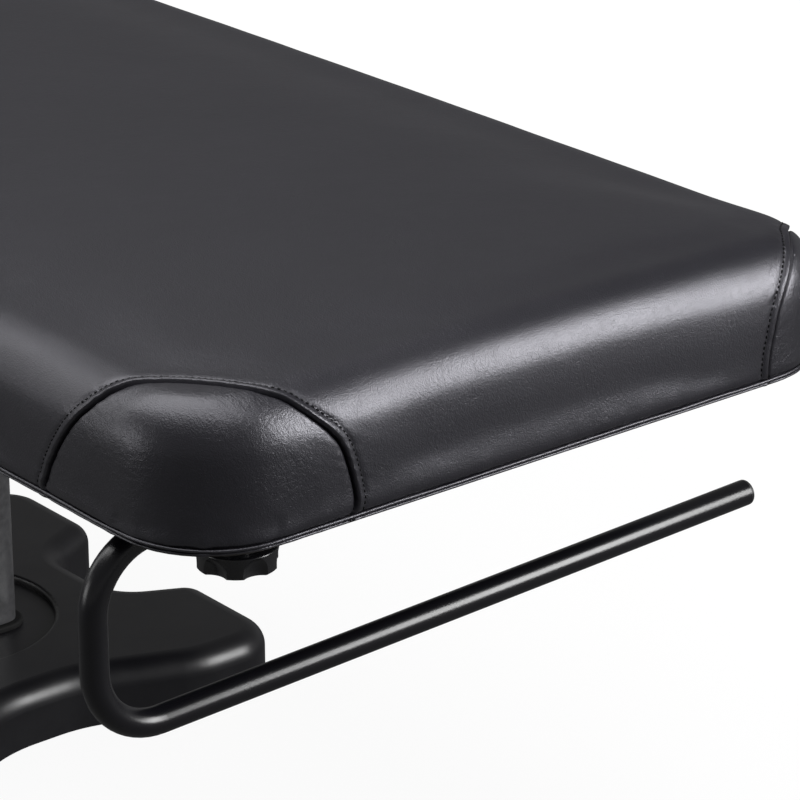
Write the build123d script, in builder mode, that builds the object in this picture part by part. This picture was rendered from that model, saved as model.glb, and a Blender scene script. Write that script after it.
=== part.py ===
"""Electric treatment table: an upholstered top on a telescopic lift column and a moulded base.

X runs across the table, Y along it and Z up. The origin is on the floor under the column's
middle. The end that carries the paper roll bar is at -Y. Sizes are in millimetres.
"""
from build123d import *
import math
import os

# Upholstered top
top_width = 762.0
top_length = 2032.0
top_underside = 588.0
top_corner_radius = 95.0
board_thickness = 19.0
cushion_edge_height = 131.0
cushion_crown = 5.0
cushion_nose_radius = 43.0
cushion_draw = 3.0
cushion_upper_draw = 5.0
cushion_widest_height = 64.0
cushion_step_height = 10.0
wrap_inset = 6.0
wrap_height = 16.0
cover_thickness = 1.2
cover_return = 45.0
soft_clearance = 0.3
hem_bead_radius = 1.8
hem_bead_height = 7.0
patch_reach_side = 210.0
patch_reach_end = 176.0
patch_lean_share = 0.3
patch_narrow_share = 0.64

# Frame under the top
rail_end_inset = 266.0
rail_spacing = 370.0
rail_width = 40.0
rail_height = 30.0
rail_wall = 2.0
outer_member_inset = 150.0
inner_member_place = 110.0
head_plate_width = 430.0
head_plate_length = 300.0
head_plate_thickness = 10.0
head_plate_radius = 18.0
rail_screw_end_inset = 60.0
rail_screw_count = 4
rail_screw_diameter = 8.0
rail_screw_head = 16.0
rail_screw_head_height = 5.0
rail_screw_grip = 14.0
screw_clearance = 0.5

# Lift column, from the outer tube to the inner one
column_width = 150.0
column_depth = 120.0
column_wall = 3.5
column_gap = 2.5
column_corner = 20.0
column_headroom = 64.0
stage_lift_at_rest = 60.0
middle_tube_start = 6.0
glide_length = 54.0
glide_width = 60.0
glide_running_clearance = 0.1
column_cap_thickness = 4.0
column_cap_clearance = 0.5
foot_flange_width = 210.0
foot_flange_depth = 180.0
foot_flange_thickness = 10.0
foot_flange_radius = 14.0

# Lifting drive inside the column
motor_radius = 33.0
motor_height = 74.0
gearbox_radius = 38.0
gearbox_height = 26.0
drive_tube_radius = 23.0
drive_middle_radius = 18.0
drive_rod_radius = 14.0
drive_running_clearance = 0.1
drive_headroom = 90.0
drive_tube_surplus = 12.0
drive_middle_start = 10.0
drive_rod_start = 20.0
rod_flange_radius = 30.0
rod_flange_thickness = 6.0

# Base
base_plate_thickness = 10.0
base_plate_inset = 10.0
floor_pad_height = 8.0
floor_pad_radius = 24.0
base_cover_height = 70.0
base_cover_gap = 3.0
base_cover_wall = 4.0
base_cover_fillet = 25.0
waist_half_width = 200.0
waist_half_length = 62.0
wing_half_width = 284.0
wing_shoulder = 104.0
wing_tip = 271.0
tip_inner = 175.0
valley_half_width = 45.0
valley_depth_place = 219.0
waist_radius = 55.0
shoulder_radius = 32.0
tip_radius = 55.0
tip_inner_radius = 120.0
valley_radius = 150.0
well_radius = 132.0
well_depth = 8.0
well_rim_fillet = 5.0
column_opening_clearance = 2.0
seal_overlap = 8.0
seal_height = 6.0
boss_radius = 7.0
boss_bore_radius = 1.8
boss_wing_x = 222.0
boss_wing_y = 176.0
boss_waist_x = 160.0
pad_place_x = 214.0
pad_place_y = 214.0
cover_screw_radius = 1.7
cover_screw_head_radius = 4.0
cover_screw_length = 26.0
hex_bolt_radius = 5.0
hex_bolt_head = 17.0
hex_bolt_head_height = 6.5
foot_bolt_inset = 14.0

# Electrical pieces in the base
panel_half_width = 58.0
panel_bottom = 18.5
panel_top = 45.5
panel_face = 212.0
panel_wall = 4.0
control_box_width = 190.0
control_box_depth = 62.0
control_box_height = 34.0
control_box_wall = 2.0
control_box_place = 144.0
control_box_corner = 5.0
inlet_place = -34.0
inlet_width = 27.0
inlet_height = 20.0
inlet_depth = 24.0
inlet_flange_rim = 2.2
inlet_flange_thickness = 2.5
inlet_socket_wall = 2.5
inlet_socket_depth = 18.0
inlet_pin_length = 12.0
inlet_pin_width = 2.0
inlet_pin_height = 4.0
inlet_pin_pitch = 7.0
switch_place = 2.0
switch_width = 19.0
switch_height = 13.0
switch_depth = 14.0
switch_rim = 1.5
switch_rim_thickness = 1.5
switch_wall = 1.5
switch_cavity_depth = 7.0
rocker_clearance = 0.5
rocker_pivot_depth = 2.0
rocker_half_length = 7.0
rocker_lip = 4.0
rocker_dip = 2.4
rocker_shoulder = 1.0
rocker_keel = 2.5
rocker_trunnion_radius = 1.5
rocker_trunnion_clearance = 0.1
rocker_trunnion_seat = 1.0
hand_socket_place = 33.0
hand_socket_radius = 8.0
hand_socket_flange_radius = 10.5
hand_socket_flange_thickness = 2.5
hand_socket_depth = 16.0
hand_socket_bore_radius = 5.5
hand_socket_bore_depth = 10.0
hand_pin_circle_radius = 3.2
hand_pin_count = 5
hand_pin_radius = 0.6
hand_pin_length = 5.0

# Paper roll bar
bar_radius = 12.7
bar_wall = 1.6
bar_bend_radius = 63.5
bar_setback = 128.0
bar_leg_overhang = 5.0
bar_drop = 177.4
bar_rise_angle = 1.55
bar_free_end_inset = 9.0
bar_clamped_length = 234.0
cap_rim_radius = 12.6
cap_rim_thickness = 4.0
cap_round_share = 0.55
inner_plug_thickness = 3.0
cap_spigot_length = 14.0
cap_fit = 0.05
socket_wall = 3.3
socket_clearance = 0.1
socket_length = 150.0
socket_mouth_gap = 6.0
socket_plate_thickness = 3.0
socket_plate_width = 74.0
socket_web_width = 20.0
socket_screw_inset_x = 16.0
socket_screw_inset_y = 10.0
socket_screw_radius = 2.6
socket_screw_head_radius = 5.0
socket_screw_head_height = 3.0
socket_screw_length = 15.0

# Clamp knob of the roll bar
clamp_reach = 150.0
clamp_nut_radius = 9.0
clamp_nut_height = 8.0
stud_radius = 4.0
stud_clearance = 0.1
stud_tip_gap = 0.3
stud_showing = 3.5
knob_radius = 36.0
knob_lobe_count = 6
knob_lobe_height = 20.0
knob_scallop_radius = 17.4
knob_scallop_place = 46.9
knob_recess_height = 5.0
knob_turn_at_rest = 19.5
knob_rim_fillet = 2.0
knob_dish_radius = 22.0
knob_dish_depth = 3.0
knob_hub_radius = 13.0
knob_hub_height = 8.0
knob_stud_engagement = 16.0

cut_overrun = 20.0

# Heights that follow from the sizes above
column_foot = floor_pad_height + base_plate_thickness
board_top = top_underside + board_thickness
rail_bottom = top_underside - rail_height
head_plate_bottom = rail_bottom - head_plate_thickness
cushion_top = top_underside + cushion_edge_height + cushion_crown
rail_length = top_length - 2 * rail_end_inset
outer_member_place = rail_length / 2 - outer_member_inset
rail_screw_spacing = (rail_length - 2 * rail_screw_end_inset) / (rail_screw_count - 1)
stage_step = column_wall + column_gap
middle_width = column_width - 2 * stage_step
middle_depth = column_depth - 2 * stage_step
inner_width = middle_width - 2 * stage_step
inner_depth = middle_depth - 2 * stage_step
middle_corner = column_corner - column_gap
inner_corner = middle_corner - column_gap
middle_tube_foot = column_foot + middle_tube_start + stage_lift_at_rest
column_tube_length = head_plate_bottom - column_headroom - column_cap_thickness - middle_tube_foot
inner_tube_foot = head_plate_bottom - column_tube_length
drive_tube_foot = column_foot + motor_height + gearbox_height
drive_middle_foot = drive_tube_foot + drive_middle_start + stage_lift_at_rest
drive_middle_length = head_plate_bottom - drive_headroom - drive_middle_foot
drive_tube_length = drive_middle_length + drive_tube_surplus
socket_outer_radius = bar_radius + socket_clearance + socket_wall
bar_place = bar_setback - top_length / 2
bar_leg_place = -top_width / 2 - bar_leg_overhang
bar_free_end = top_width / 2 - bar_free_end_inset
bar_inner_end = bar_leg_place + bar_clamped_length
clamp_place_x = bar_leg_place + clamp_reach
socket_mouth = bar_leg_place + bar_bend_radius + socket_mouth_gap
bar_axis_height = top_underside - socket_outer_radius
clamp_nut_bottom = bar_axis_height - socket_outer_radius - clamp_nut_height
knob_bottom = clamp_nut_bottom - stud_showing - knob_hub_height - knob_lobe_height


def save(builder, name):
    """Label one sub-part and write it as its own STEP file."""
    builder.part.label = name
    export_step(builder.part, f"parts/{name}.step")


def cylinder_between(radius, bottom, top, places, mode=Mode.ADD):
    """Upright round bars between two heights, one at each place, in the part being built."""
    with BuildSketch(Plane.XY.offset(bottom), mode=Mode.PRIVATE) as circles:
        with Locations(*places):
            Circle(radius)
    extrude(circles.sketch, amount=top - bottom, mode=mode)


def mirrored_places(x, y):
    """One place in each quadrant of the table."""
    return [(side * x, end * y) for side in (-1, 1) for end in (-1, 1)]


# Upholstered top
def cushion_form(inset, wrapped):
    """The cushion's outer form, drawn in by an inset: bulged sides, a crowned top and a round nose."""
    half_width = top_width / 2 - inset
    half_length = top_length / 2 - inset
    crown_top = cushion_top - inset
    foot = top_underside + cushion_step_height + inset if wrapped else board_top
    sections = (
        (foot, cushion_draw),
        (top_underside + cushion_widest_height, 0),
        (crown_top + cut_overrun, cushion_upper_draw),
    )
    across = (half_width**2 + cushion_crown**2) / (2 * cushion_crown)
    along = (half_length**2 + cushion_crown**2) / (2 * cushion_crown)
    reach = half_width + cut_overrun
    edge_height = crown_top - across + math.sqrt(across**2 - reach**2)
    turn = math.degrees(math.asin((half_length + cut_overrun) / along))

    with BuildPart() as barrel:
        with BuildSketch(Plane.XZ):
            with BuildLine():
                ThreePointArc((-reach, edge_height), (0, crown_top), (reach, edge_height))
                Polyline((reach, edge_height), (reach, 0), (-reach, 0), (-reach, edge_height))
            make_face()
        revolve(axis=Axis((0, 0, crown_top - along), (1, 0, 0)), revolution_arc=turn)
        mirror(about=Plane.XZ)

    with BuildPart() as form:
        for height, draw in sections:
            with BuildSketch(Plane.XY.offset(height)):
                RectangleRounded(
                    2 * (half_width - draw), 2 * (half_length - draw), top_corner_radius - inset - draw
                )
        loft()
        add(barrel.part, mode=Mode.INTERSECT)
        nose_edges = form.edges().filter_by(lambda edge: edge.center().Z > board_top + cushion_nose_radius)
        fillet(nose_edges, cushion_nose_radius - inset)
        if wrapped:
            with BuildSketch(Plane.XY.offset(top_underside)):
                RectangleRounded(
                    2 * (half_width - wrap_inset),
                    2 * (half_length - wrap_inset),
                    top_corner_radius - inset - wrap_inset,
                )
            extrude(amount=wrap_height)
    return form.part


def patch_plane(side, end):
    """The leaning cut that parts a sewn corner patch from the cover, narrower on the +X side."""
    corner = Vector(side * top_width / 2, end * top_length / 2, top_underside)
    reach_share = patch_narrow_share if side > 0 else 1
    on_side = corner - Vector(0, end * patch_reach_side * reach_share, 0)
    on_end = corner - Vector(side * patch_reach_end * reach_share, 0, 0)
    along = (on_end - on_side).normalized()
    lean = (corner - (on_side + on_end) / 2).normalized() * patch_lean_share + Vector(0, 0, 1)
    normal = along.cross(lean).normalized()
    if (corner - on_side).dot(normal) < 0:
        normal = -normal
    return Plane(origin=on_side, x_dir=along, z_dir=normal)


def make_cover():
    """Vinyl cover wrapped round foam and board, in one main piece and four corner patches."""
    with BuildPart() as cover:
        add(cushion_form(0, True))
        with BuildSketch(Plane.XY.offset(top_underside)):
            RectangleRounded(
                top_width - 2 * wrap_inset, top_length - 2 * wrap_inset, top_corner_radius - wrap_inset
            )
        extrude(amount=-cover_thickness)
        add(cushion_form(cover_thickness, True), mode=Mode.SUBTRACT)
        window_inset = wrap_inset + cover_return
        with BuildSketch(Plane.XY.offset(top_underside - cover_thickness)):
            RectangleRounded(
                top_width - 2 * window_inset, top_length - 2 * window_inset, top_corner_radius - window_inset
            )
        extrude(amount=2 * cover_thickness, mode=Mode.SUBTRACT)

    with BuildPart() as patches:
        for side, end in ((-1, -1), (1, -1), (-1, 1), (1, 1)):
            add(split(cover.part, bisect_by=patch_plane(side, end), keep=Keep.TOP, mode=Mode.PRIVATE))
    with BuildPart() as main:
        add(cover.part)
        for side, end in ((-1, -1), (1, -1), (-1, 1), (1, 1)):
            split(bisect_by=patch_plane(side, end), keep=Keep.BOTTOM)
    save(main, "cushion_cover")
    save(patches, "corner_patches")


def make_foam():
    """Foam block glued on the board, just inside the cover."""
    with BuildPart() as foam:
        add(cushion_form(cover_thickness + soft_clearance, False))
    save(foam, "foam_core")


def make_board():
    """Plywood board with a blind hole over each frame screw and each socket screw."""
    inset = wrap_inset + cover_thickness + soft_clearance
    with BuildPart() as board:
        with BuildSketch(Plane.XY.offset(top_underside)):
            RectangleRounded(top_width - 2 * inset, top_length - 2 * inset, top_corner_radius - inset)
        extrude(amount=board_thickness)
        cylinder_between(
            rail_screw_diameter / 2, top_underside, top_underside + rail_screw_grip,
            rail_screw_places(), Mode.SUBTRACT,
        )
        cylinder_between(
            socket_screw_radius, top_underside, top_underside + socket_screw_length - socket_plate_thickness,
            socket_screw_places(), Mode.SUBTRACT,
        )
    save(board, "top_board")


def make_hem_bead():
    """Rolled hem of the cover, a cord that runs round the bottom of the upholstery."""
    inset = wrap_inset - hem_bead_radius - soft_clearance
    height = top_underside + hem_bead_height
    half_width = top_width / 2 - inset
    half_length = top_length / 2 - inset
    with BuildSketch(Plane.XY.offset(height)) as ring:
        RectangleRounded(2 * half_width, 2 * half_length, top_corner_radius - inset)
    path = ring.sketch.faces()[0].outer_wire()
    with BuildPart() as bead:
        with BuildSketch(Plane(origin=path @ 0, z_dir=path % 0)):
            Circle(hem_bead_radius)
        sweep(path=path)
    save(bead, "hem_bead")


# Frame under the top
def rail_screw_places():
    """Screws along both rails, evenly spaced about the middle."""
    middle = (rail_screw_count - 1) / 2
    rows = [(row - middle) * rail_screw_spacing for row in range(rail_screw_count)]
    return [(side * rail_spacing / 2, row) for side in (-1, 1) for row in rows]


def make_rails():
    """Two long rectangular tubes, drilled for their screws."""
    for name, side in (("left_rail", -1), ("right_rail", 1)):
        x = side * rail_spacing / 2
        places = [place for place in rail_screw_places() if place[0] == x]
        with BuildPart() as rail:
            with BuildSketch(Plane.XZ.offset(-rail_length / 2)):
                with Locations((x, top_underside - rail_height / 2)):
                    Rectangle(rail_width, rail_height)
                    Rectangle(rail_width - 2 * rail_wall, rail_height - 2 * rail_wall, mode=Mode.SUBTRACT)
            extrude(amount=rail_length)
            cylinder_between(
                rail_screw_diameter / 2 + screw_clearance, rail_bottom - cut_overrun,
                top_underside + cut_overrun, places, Mode.SUBTRACT,
            )
        save(rail, name)


def make_cross_members():
    """Four tubes welded between the rails."""
    places = {
        "foot_cross_member": -outer_member_place,
        "column_cross_member_foot": -inner_member_place,
        "column_cross_member_head": inner_member_place,
        "head_cross_member": outer_member_place,
    }
    length = rail_spacing - rail_width
    for name, y in places.items():
        with BuildPart() as member:
            with BuildSketch(Plane.YZ.offset(-length / 2)):
                with Locations((y, top_underside - rail_height / 2)):
                    Rectangle(rail_width, rail_height)
                    Rectangle(rail_width - 2 * rail_wall, rail_height - 2 * rail_wall, mode=Mode.SUBTRACT)
            extrude(amount=length)
        save(member, name)


def make_head_plate():
    """Steel plate that ties the column's head to the rails."""
    with BuildPart() as plate:
        with BuildSketch(Plane.XY.offset(head_plate_bottom)):
            RectangleRounded(head_plate_width, head_plate_length, head_plate_radius)
        extrude(amount=head_plate_thickness)
        with BuildSketch(Plane.XY.offset(head_plate_bottom)):
            with GridLocations(column_width, column_depth + 2 * rail_width, 2, 2):
                SlotOverall(rail_width, rail_height)
        extrude(amount=head_plate_thickness, mode=Mode.SUBTRACT)
        chamfer(plate.faces().sort_by(Axis.Z)[0].outer_wire().edges(), head_plate_thickness / 8)
    save(plate, "column_head_plate")


def make_rail_screws():
    """Pan-head screws from below, through both rails into the board."""
    with BuildPart() as screws:
        cylinder_between(
            rail_screw_diameter / 2, rail_bottom, top_underside + rail_screw_grip, rail_screw_places()
        )
        cylinder_between(
            rail_screw_head / 2, rail_bottom - rail_screw_head_height, rail_bottom, rail_screw_places()
        )
        fillet(screws.faces().sort_by(Axis.Z)[: 2 * rail_screw_count].edges(), rail_screw_head_height / 3)
    save(screws, "rail_screws")


# Lift column
def tube_sketch(width, depth, corner):
    """A rounded tube section with the column's wall."""
    RectangleRounded(width, depth, corner)
    RectangleRounded(
        width - 2 * column_wall, depth - 2 * column_wall, corner - column_wall, mode=Mode.SUBTRACT
    )


def make_column_tubes():
    """Three nested tubes, the outer one standing on the base."""
    tubes = {
        "column_outer_tube": (column_foot, column_width, column_depth, column_corner),
        "column_middle_tube": (middle_tube_foot, middle_width, middle_depth, middle_corner),
        "column_inner_tube": (inner_tube_foot, inner_width, inner_depth, inner_corner),
    }
    for name, (foot, width, depth, corner) in tubes.items():
        with BuildPart() as tube:
            with BuildSketch(Plane.XY.offset(foot)):
                tube_sketch(width, depth, corner)
            extrude(amount=column_tube_length)
        save(tube, name)


def glide_pads(width, depth, bottom):
    """Four flat pads between two tubes, around an inner outline of the given width and depth."""
    thickness = column_gap - glide_running_clearance
    with BuildSketch(Plane.XY.offset(bottom), mode=Mode.PRIVATE) as pads:
        with GridLocations(width + thickness, 0, 2, 1):
            Rectangle(thickness, glide_width)
        with GridLocations(0, depth + thickness, 1, 2):
            Rectangle(glide_width, thickness)
    extrude(pads.sketch, amount=glide_length)


def make_glides():
    """Plastic glides: each stage has a set at its lower end and runs in a set at the next one's mouth."""
    running = 2 * glide_running_clearance
    mouth = column_tube_length - glide_length
    sets = {
        "outer_tube_glides": (middle_width + running, middle_depth + running, column_foot + mouth),
        "middle_tube_foot_glides": (middle_width, middle_depth, middle_tube_foot),
        "middle_tube_mouth_glides": (inner_width + running, inner_depth + running, middle_tube_foot + mouth),
        "inner_tube_foot_glides": (inner_width, inner_depth, inner_tube_foot),
    }
    for name, (width, depth, bottom) in sets.items():
        with BuildPart() as glides:
            glide_pads(width, depth, bottom)
        save(glides, name)


def make_column_caps():
    """Trim frames on the mouths of the outer and the middle tube."""
    clearance = 2 * column_cap_clearance
    caps = {
        "outer_tube_cap": (column_foot, column_width, column_depth, column_corner,
                           middle_width, middle_depth, middle_corner),
        "middle_tube_cap": (middle_tube_foot, middle_width, middle_depth, middle_corner,
                            inner_width, inner_depth, inner_corner),
    }
    for name, (foot, width, depth, corner, hole_width, hole_depth, hole_corner) in caps.items():
        with BuildPart() as cap:
            with BuildSketch(Plane.XY.offset(foot + column_tube_length)):
                RectangleRounded(width, depth, corner)
                RectangleRounded(
                    hole_width + clearance, hole_depth + clearance, hole_corner, mode=Mode.SUBTRACT
                )
            extrude(amount=column_cap_thickness)
            fillet(cap.faces().sort_by(Axis.Z)[-1].outer_wire().edges(), column_cap_thickness / 3)
        save(cap, name)


def foot_bolt_places():
    """Bolts at the corners of the column's foot flange."""
    return mirrored_places(foot_flange_width / 2 - foot_bolt_inset, foot_flange_depth / 2 - foot_bolt_inset)


def make_foot_flange():
    """Flange welded round the foot of the outer tube."""
    with BuildPart() as flange:
        with BuildSketch(Plane.XY.offset(column_foot)):
            RectangleRounded(foot_flange_width, foot_flange_depth, foot_flange_radius)
            RectangleRounded(column_width, column_depth, column_corner, mode=Mode.SUBTRACT)
        extrude(amount=foot_flange_thickness)
        cylinder_between(
            hex_bolt_radius + screw_clearance, column_foot, column_foot + foot_flange_thickness,
            foot_bolt_places(), Mode.SUBTRACT,
        )
    save(flange, "column_foot_flange")


def make_foot_bolts():
    """Hexagon bolts that hold the column to the base plate."""
    seat = column_foot + foot_flange_thickness
    with BuildPart() as bolts:
        cylinder_between(hex_bolt_radius, floor_pad_height, seat, foot_bolt_places())
        with BuildSketch(Plane.XY.offset(seat)):
            with Locations(*foot_bolt_places()):
                RegularPolygon(hex_bolt_head / 2, 6, major_radius=False)
        extrude(amount=hex_bolt_head_height)
    save(bolts, "column_foot_bolts")


# Lifting drive
def make_drive():
    """Motor, gearbox and a telescopic actuator that stands inside the column."""
    rod_foot = drive_tube_foot + drive_rod_start + 2 * stage_lift_at_rest
    with BuildPart() as motor:
        cylinder_between(motor_radius, column_foot, column_foot + motor_height, [(0, 0)])
        chamfer(motor.faces().sort_by(Axis.Z)[0].edges(), motor_radius / 12)
    save(motor, "lift_motor")

    with BuildPart() as gearbox:
        cylinder_between(gearbox_radius, column_foot + motor_height, drive_tube_foot, [(0, 0)])
        fillet(gearbox.edges().filter_by(GeomType.CIRCLE), gearbox_height / 8)
    save(gearbox, "lift_gearbox")

    with BuildPart() as tube:
        bore = drive_middle_radius + drive_running_clearance
        cylinder_between(drive_tube_radius, drive_tube_foot, drive_tube_foot + drive_tube_length, [(0, 0)])
        cylinder_between(bore, drive_tube_foot, drive_tube_foot + drive_tube_length, [(0, 0)], Mode.SUBTRACT)
    save(tube, "actuator_outer_tube")

    with BuildPart() as middle:
        bore = drive_rod_radius + drive_running_clearance
        cylinder_between(
            drive_middle_radius, drive_middle_foot, drive_middle_foot + drive_middle_length, [(0, 0)]
        )
        cylinder_between(
            bore, drive_middle_foot, drive_middle_foot + drive_middle_length, [(0, 0)], Mode.SUBTRACT
        )
    save(middle, "actuator_middle_tube")

    with BuildPart() as rod:
        cylinder_between(drive_rod_radius, rod_foot, head_plate_bottom, [(0, 0)])
        cylinder_between(
            rod_flange_radius, head_plate_bottom - rod_flange_thickness, head_plate_bottom, [(0, 0)]
        )
    save(rod, "actuator_rod")


# Base
def base_outline(inset):
    """Plan of the base: four wings, drawn-in waists and an end that dips between the wings."""
    corners = (
        (waist_half_width, waist_half_length, waist_radius),
        (wing_half_width, wing_shoulder, shoulder_radius),
        (wing_half_width, wing_tip, tip_radius),
        (tip_inner, wing_tip, tip_inner_radius),
        (valley_half_width, valley_depth_place, valley_radius),
    )
    quarter = [(x, y) for x, y, radius in corners]
    points = quarter
    points = points + [(-x, y) for x, y in reversed(quarter)]
    points = points + [(-x, -y) for x, y in quarter]
    points = points + [(x, -y) for x, y in reversed(quarter)]
    with BuildSketch(mode=Mode.PRIVATE) as plan:
        with BuildLine():
            Polyline(*points, close=True)
        make_face()
        for x, y, radius in corners:
            place = Vector(x, y, 0)
            found = [
                vertex
                for vertex in plan.vertices()
                if (Vector(abs(vertex.X), abs(vertex.Y), 0) - place).length < base_cover_wall
            ]
            fillet(found, radius)
        if inset:
            offset(amount=-inset)
    return plan.sketch


def boss_places():
    """Cover bosses in the four wings and at both waists."""
    return mirrored_places(boss_wing_x, boss_wing_y) + [(-boss_waist_x, 0), (boss_waist_x, 0)]


def base_shell(inset, bottom):
    """Solid form of the base cover, drawn in by an inset, with its large top fillet."""
    with BuildPart() as form:
        with BuildSketch(Plane.XY.offset(bottom)):
            add(base_outline(inset))
        extrude(amount=base_cover_height - inset - bottom)
        fillet(form.faces().sort_by(Axis.Z)[-1].outer_wire().edges(), base_cover_fillet - inset)
    return form.part


def make_base_cover():
    """Moulded cover: a shelled butterfly form with a round well, bosses and a connection recess."""
    well_floor = base_cover_height - well_depth
    with BuildPart() as cover:
        add(base_shell(0, base_cover_gap))
        add(base_shell(base_cover_wall, 0), mode=Mode.SUBTRACT)
        cylinder_between(
            well_radius + base_cover_wall, well_floor - base_cover_wall, base_cover_height, [(0, 0)]
        )
        cylinder_between(well_radius, well_floor, base_cover_height, [(0, 0)], Mode.SUBTRACT)
        rim = cover.edges().filter_by(GeomType.CIRCLE).filter_by(
            lambda edge: abs(edge.radius - well_radius) < base_cover_wall / 2
        )
        fillet(rim.sort_by(Axis.Z)[-1], well_rim_fillet)
        cylinder_between(
            boss_radius, column_foot, base_cover_height - base_cover_wall, boss_places()
        )
        cylinder_between(
            boss_bore_radius, column_foot, base_cover_height - 2 * base_cover_wall, boss_places(),
            Mode.SUBTRACT,
        )
        with BuildSketch(Plane.XY.offset(well_floor)):
            RectangleRounded(
                column_width + 2 * column_opening_clearance, column_depth + 2 * column_opening_clearance,
                column_corner + column_opening_clearance,
            )
        extrude(amount=-base_cover_wall, mode=Mode.SUBTRACT)
        cut_connection_recess()
    save(cover, "base_cover")


def cut_connection_recess():
    """Flat recess in the head end's wall, pierced for the inlet, the switch and the hand socket."""
    middle = (panel_bottom + panel_top) / 2
    height = panel_top - panel_bottom
    face = Plane.XZ.offset(-panel_face)
    with BuildPart(mode=Mode.PRIVATE) as backing:
        with BuildSketch(face.offset(panel_wall)):
            with Locations((0, panel_bottom)):
                Rectangle(
                    2 * (panel_half_width + base_cover_wall), height + base_cover_wall,
                    align=(Align.CENTER, Align.MIN),
                )
        extrude(amount=-panel_wall - cut_overrun)
        add(base_shell(0, base_cover_gap), mode=Mode.INTERSECT)
    add(backing.part)
    with BuildSketch(face, mode=Mode.PRIVATE) as recess:
        with Locations((0, middle)):
            Rectangle(2 * panel_half_width, height)
    extrude(recess.sketch, amount=-cut_overrun, mode=Mode.SUBTRACT)
    with BuildSketch(face, mode=Mode.PRIVATE) as openings:
        with Locations((inlet_place, middle)):
            Rectangle(inlet_width, inlet_height)
        with Locations((switch_place, middle)):
            Rectangle(switch_width, switch_height)
        with Locations((hand_socket_place, middle)):
            Circle(hand_socket_radius)
    extrude(openings.sketch, amount=cut_overrun, mode=Mode.SUBTRACT)


def make_base_plate():
    """Thick steel plate that carries the column and weighs the base down."""
    with BuildPart() as plate:
        with BuildSketch(Plane.XY.offset(floor_pad_height)):
            add(base_outline(base_plate_inset))
        extrude(amount=base_plate_thickness)
        cylinder_between(hex_bolt_radius, floor_pad_height, column_foot, foot_bolt_places(), Mode.SUBTRACT)
        cylinder_between(
            cover_screw_radius + screw_clearance, floor_pad_height, column_foot, boss_places(), Mode.SUBTRACT
        )
    save(plate, "base_plate")


def make_floor_pads():
    """Rubber pads under the four wings."""
    with BuildPart() as pads:
        cylinder_between(floor_pad_radius, 0, floor_pad_height, mirrored_places(pad_place_x, pad_place_y))
        fillet(pads.faces().sort_by(Axis.Z)[:4].edges(), floor_pad_height / 5)
    save(pads, "floor_pads")


def make_cover_screws():
    """Screws from below, through the plate into the cover's bosses."""
    head_bottom = floor_pad_height - cover_screw_head_radius / 2
    with BuildPart() as screws:
        cylinder_between(
            cover_screw_radius, floor_pad_height, floor_pad_height + cover_screw_length, boss_places()
        )
        cylinder_between(cover_screw_head_radius, head_bottom, floor_pad_height, boss_places())
    save(screws, "cover_screws")


def make_column_seal():
    """Rubber ring that closes the gap between the column and the cover's well."""
    well_floor = base_cover_height - well_depth
    bore_width = column_width + 2 * soft_clearance
    bore_depth = column_depth + 2 * soft_clearance
    spigot = 2 * (column_opening_clearance - soft_clearance)
    with BuildPart() as seal:
        with BuildSketch(Plane.XY.offset(well_floor)):
            RectangleRounded(
                column_width + 2 * seal_overlap, column_depth + 2 * seal_overlap, column_corner + seal_overlap
            )
        extrude(amount=seal_height)
        fillet(seal.faces().sort_by(Axis.Z)[-1].edges(), seal_height / 2)
        with BuildSketch(Plane.XY.offset(well_floor)):
            RectangleRounded(column_width + spigot, column_depth + spigot, column_corner + spigot / 2)
        extrude(amount=-base_cover_wall)
        with BuildSketch(Plane.XY.offset(well_floor - base_cover_wall)):
            RectangleRounded(bore_width, bore_depth, column_corner + soft_clearance)
        extrude(amount=base_cover_wall + seal_height, mode=Mode.SUBTRACT)
    save(seal, "column_seal")


# Electrical pieces
def make_control_box():
    """Controller for the lift motor, on the base plate behind the connection recess."""
    lid_bottom = column_foot + control_box_height
    with BuildPart() as box:
        with BuildSketch(Plane.XY.offset(column_foot)):
            with Locations((0, control_box_place)):
                RectangleRounded(control_box_width, control_box_depth, control_box_corner)
        extrude(amount=control_box_height)
        with BuildSketch(Plane.XY.offset(column_foot + control_box_wall)):
            with Locations((0, control_box_place)):
                RectangleRounded(
                    control_box_width - 2 * control_box_wall, control_box_depth - 2 * control_box_wall,
                    control_box_corner - control_box_wall,
                )
        extrude(amount=control_box_height, mode=Mode.SUBTRACT)
    save(box, "control_box")

    with BuildPart() as lid:
        with BuildSketch(Plane.XY.offset(lid_bottom)):
            with Locations((0, control_box_place)):
                RectangleRounded(control_box_width, control_box_depth, control_box_corner)
        extrude(amount=control_box_wall)
        with BuildSketch(Plane.XY.offset(lid_bottom)):
            with Locations((0, control_box_place)):
                with GridLocations(4 * control_box_corner, 0, 5, 1):
                    SlotOverall(control_box_depth / 2, control_box_wall, rotation=90)
        extrude(amount=control_box_wall, mode=Mode.SUBTRACT)
    save(lid, "control_box_lid")


def panel_plane(depth):
    """Plane parallel to the connection recess, a depth behind its face."""
    middle = (panel_bottom + panel_top) / 2
    return Plane(origin=(0, panel_face - depth, middle), x_dir=(1, 0, 0), z_dir=(0, -1, 0))


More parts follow.
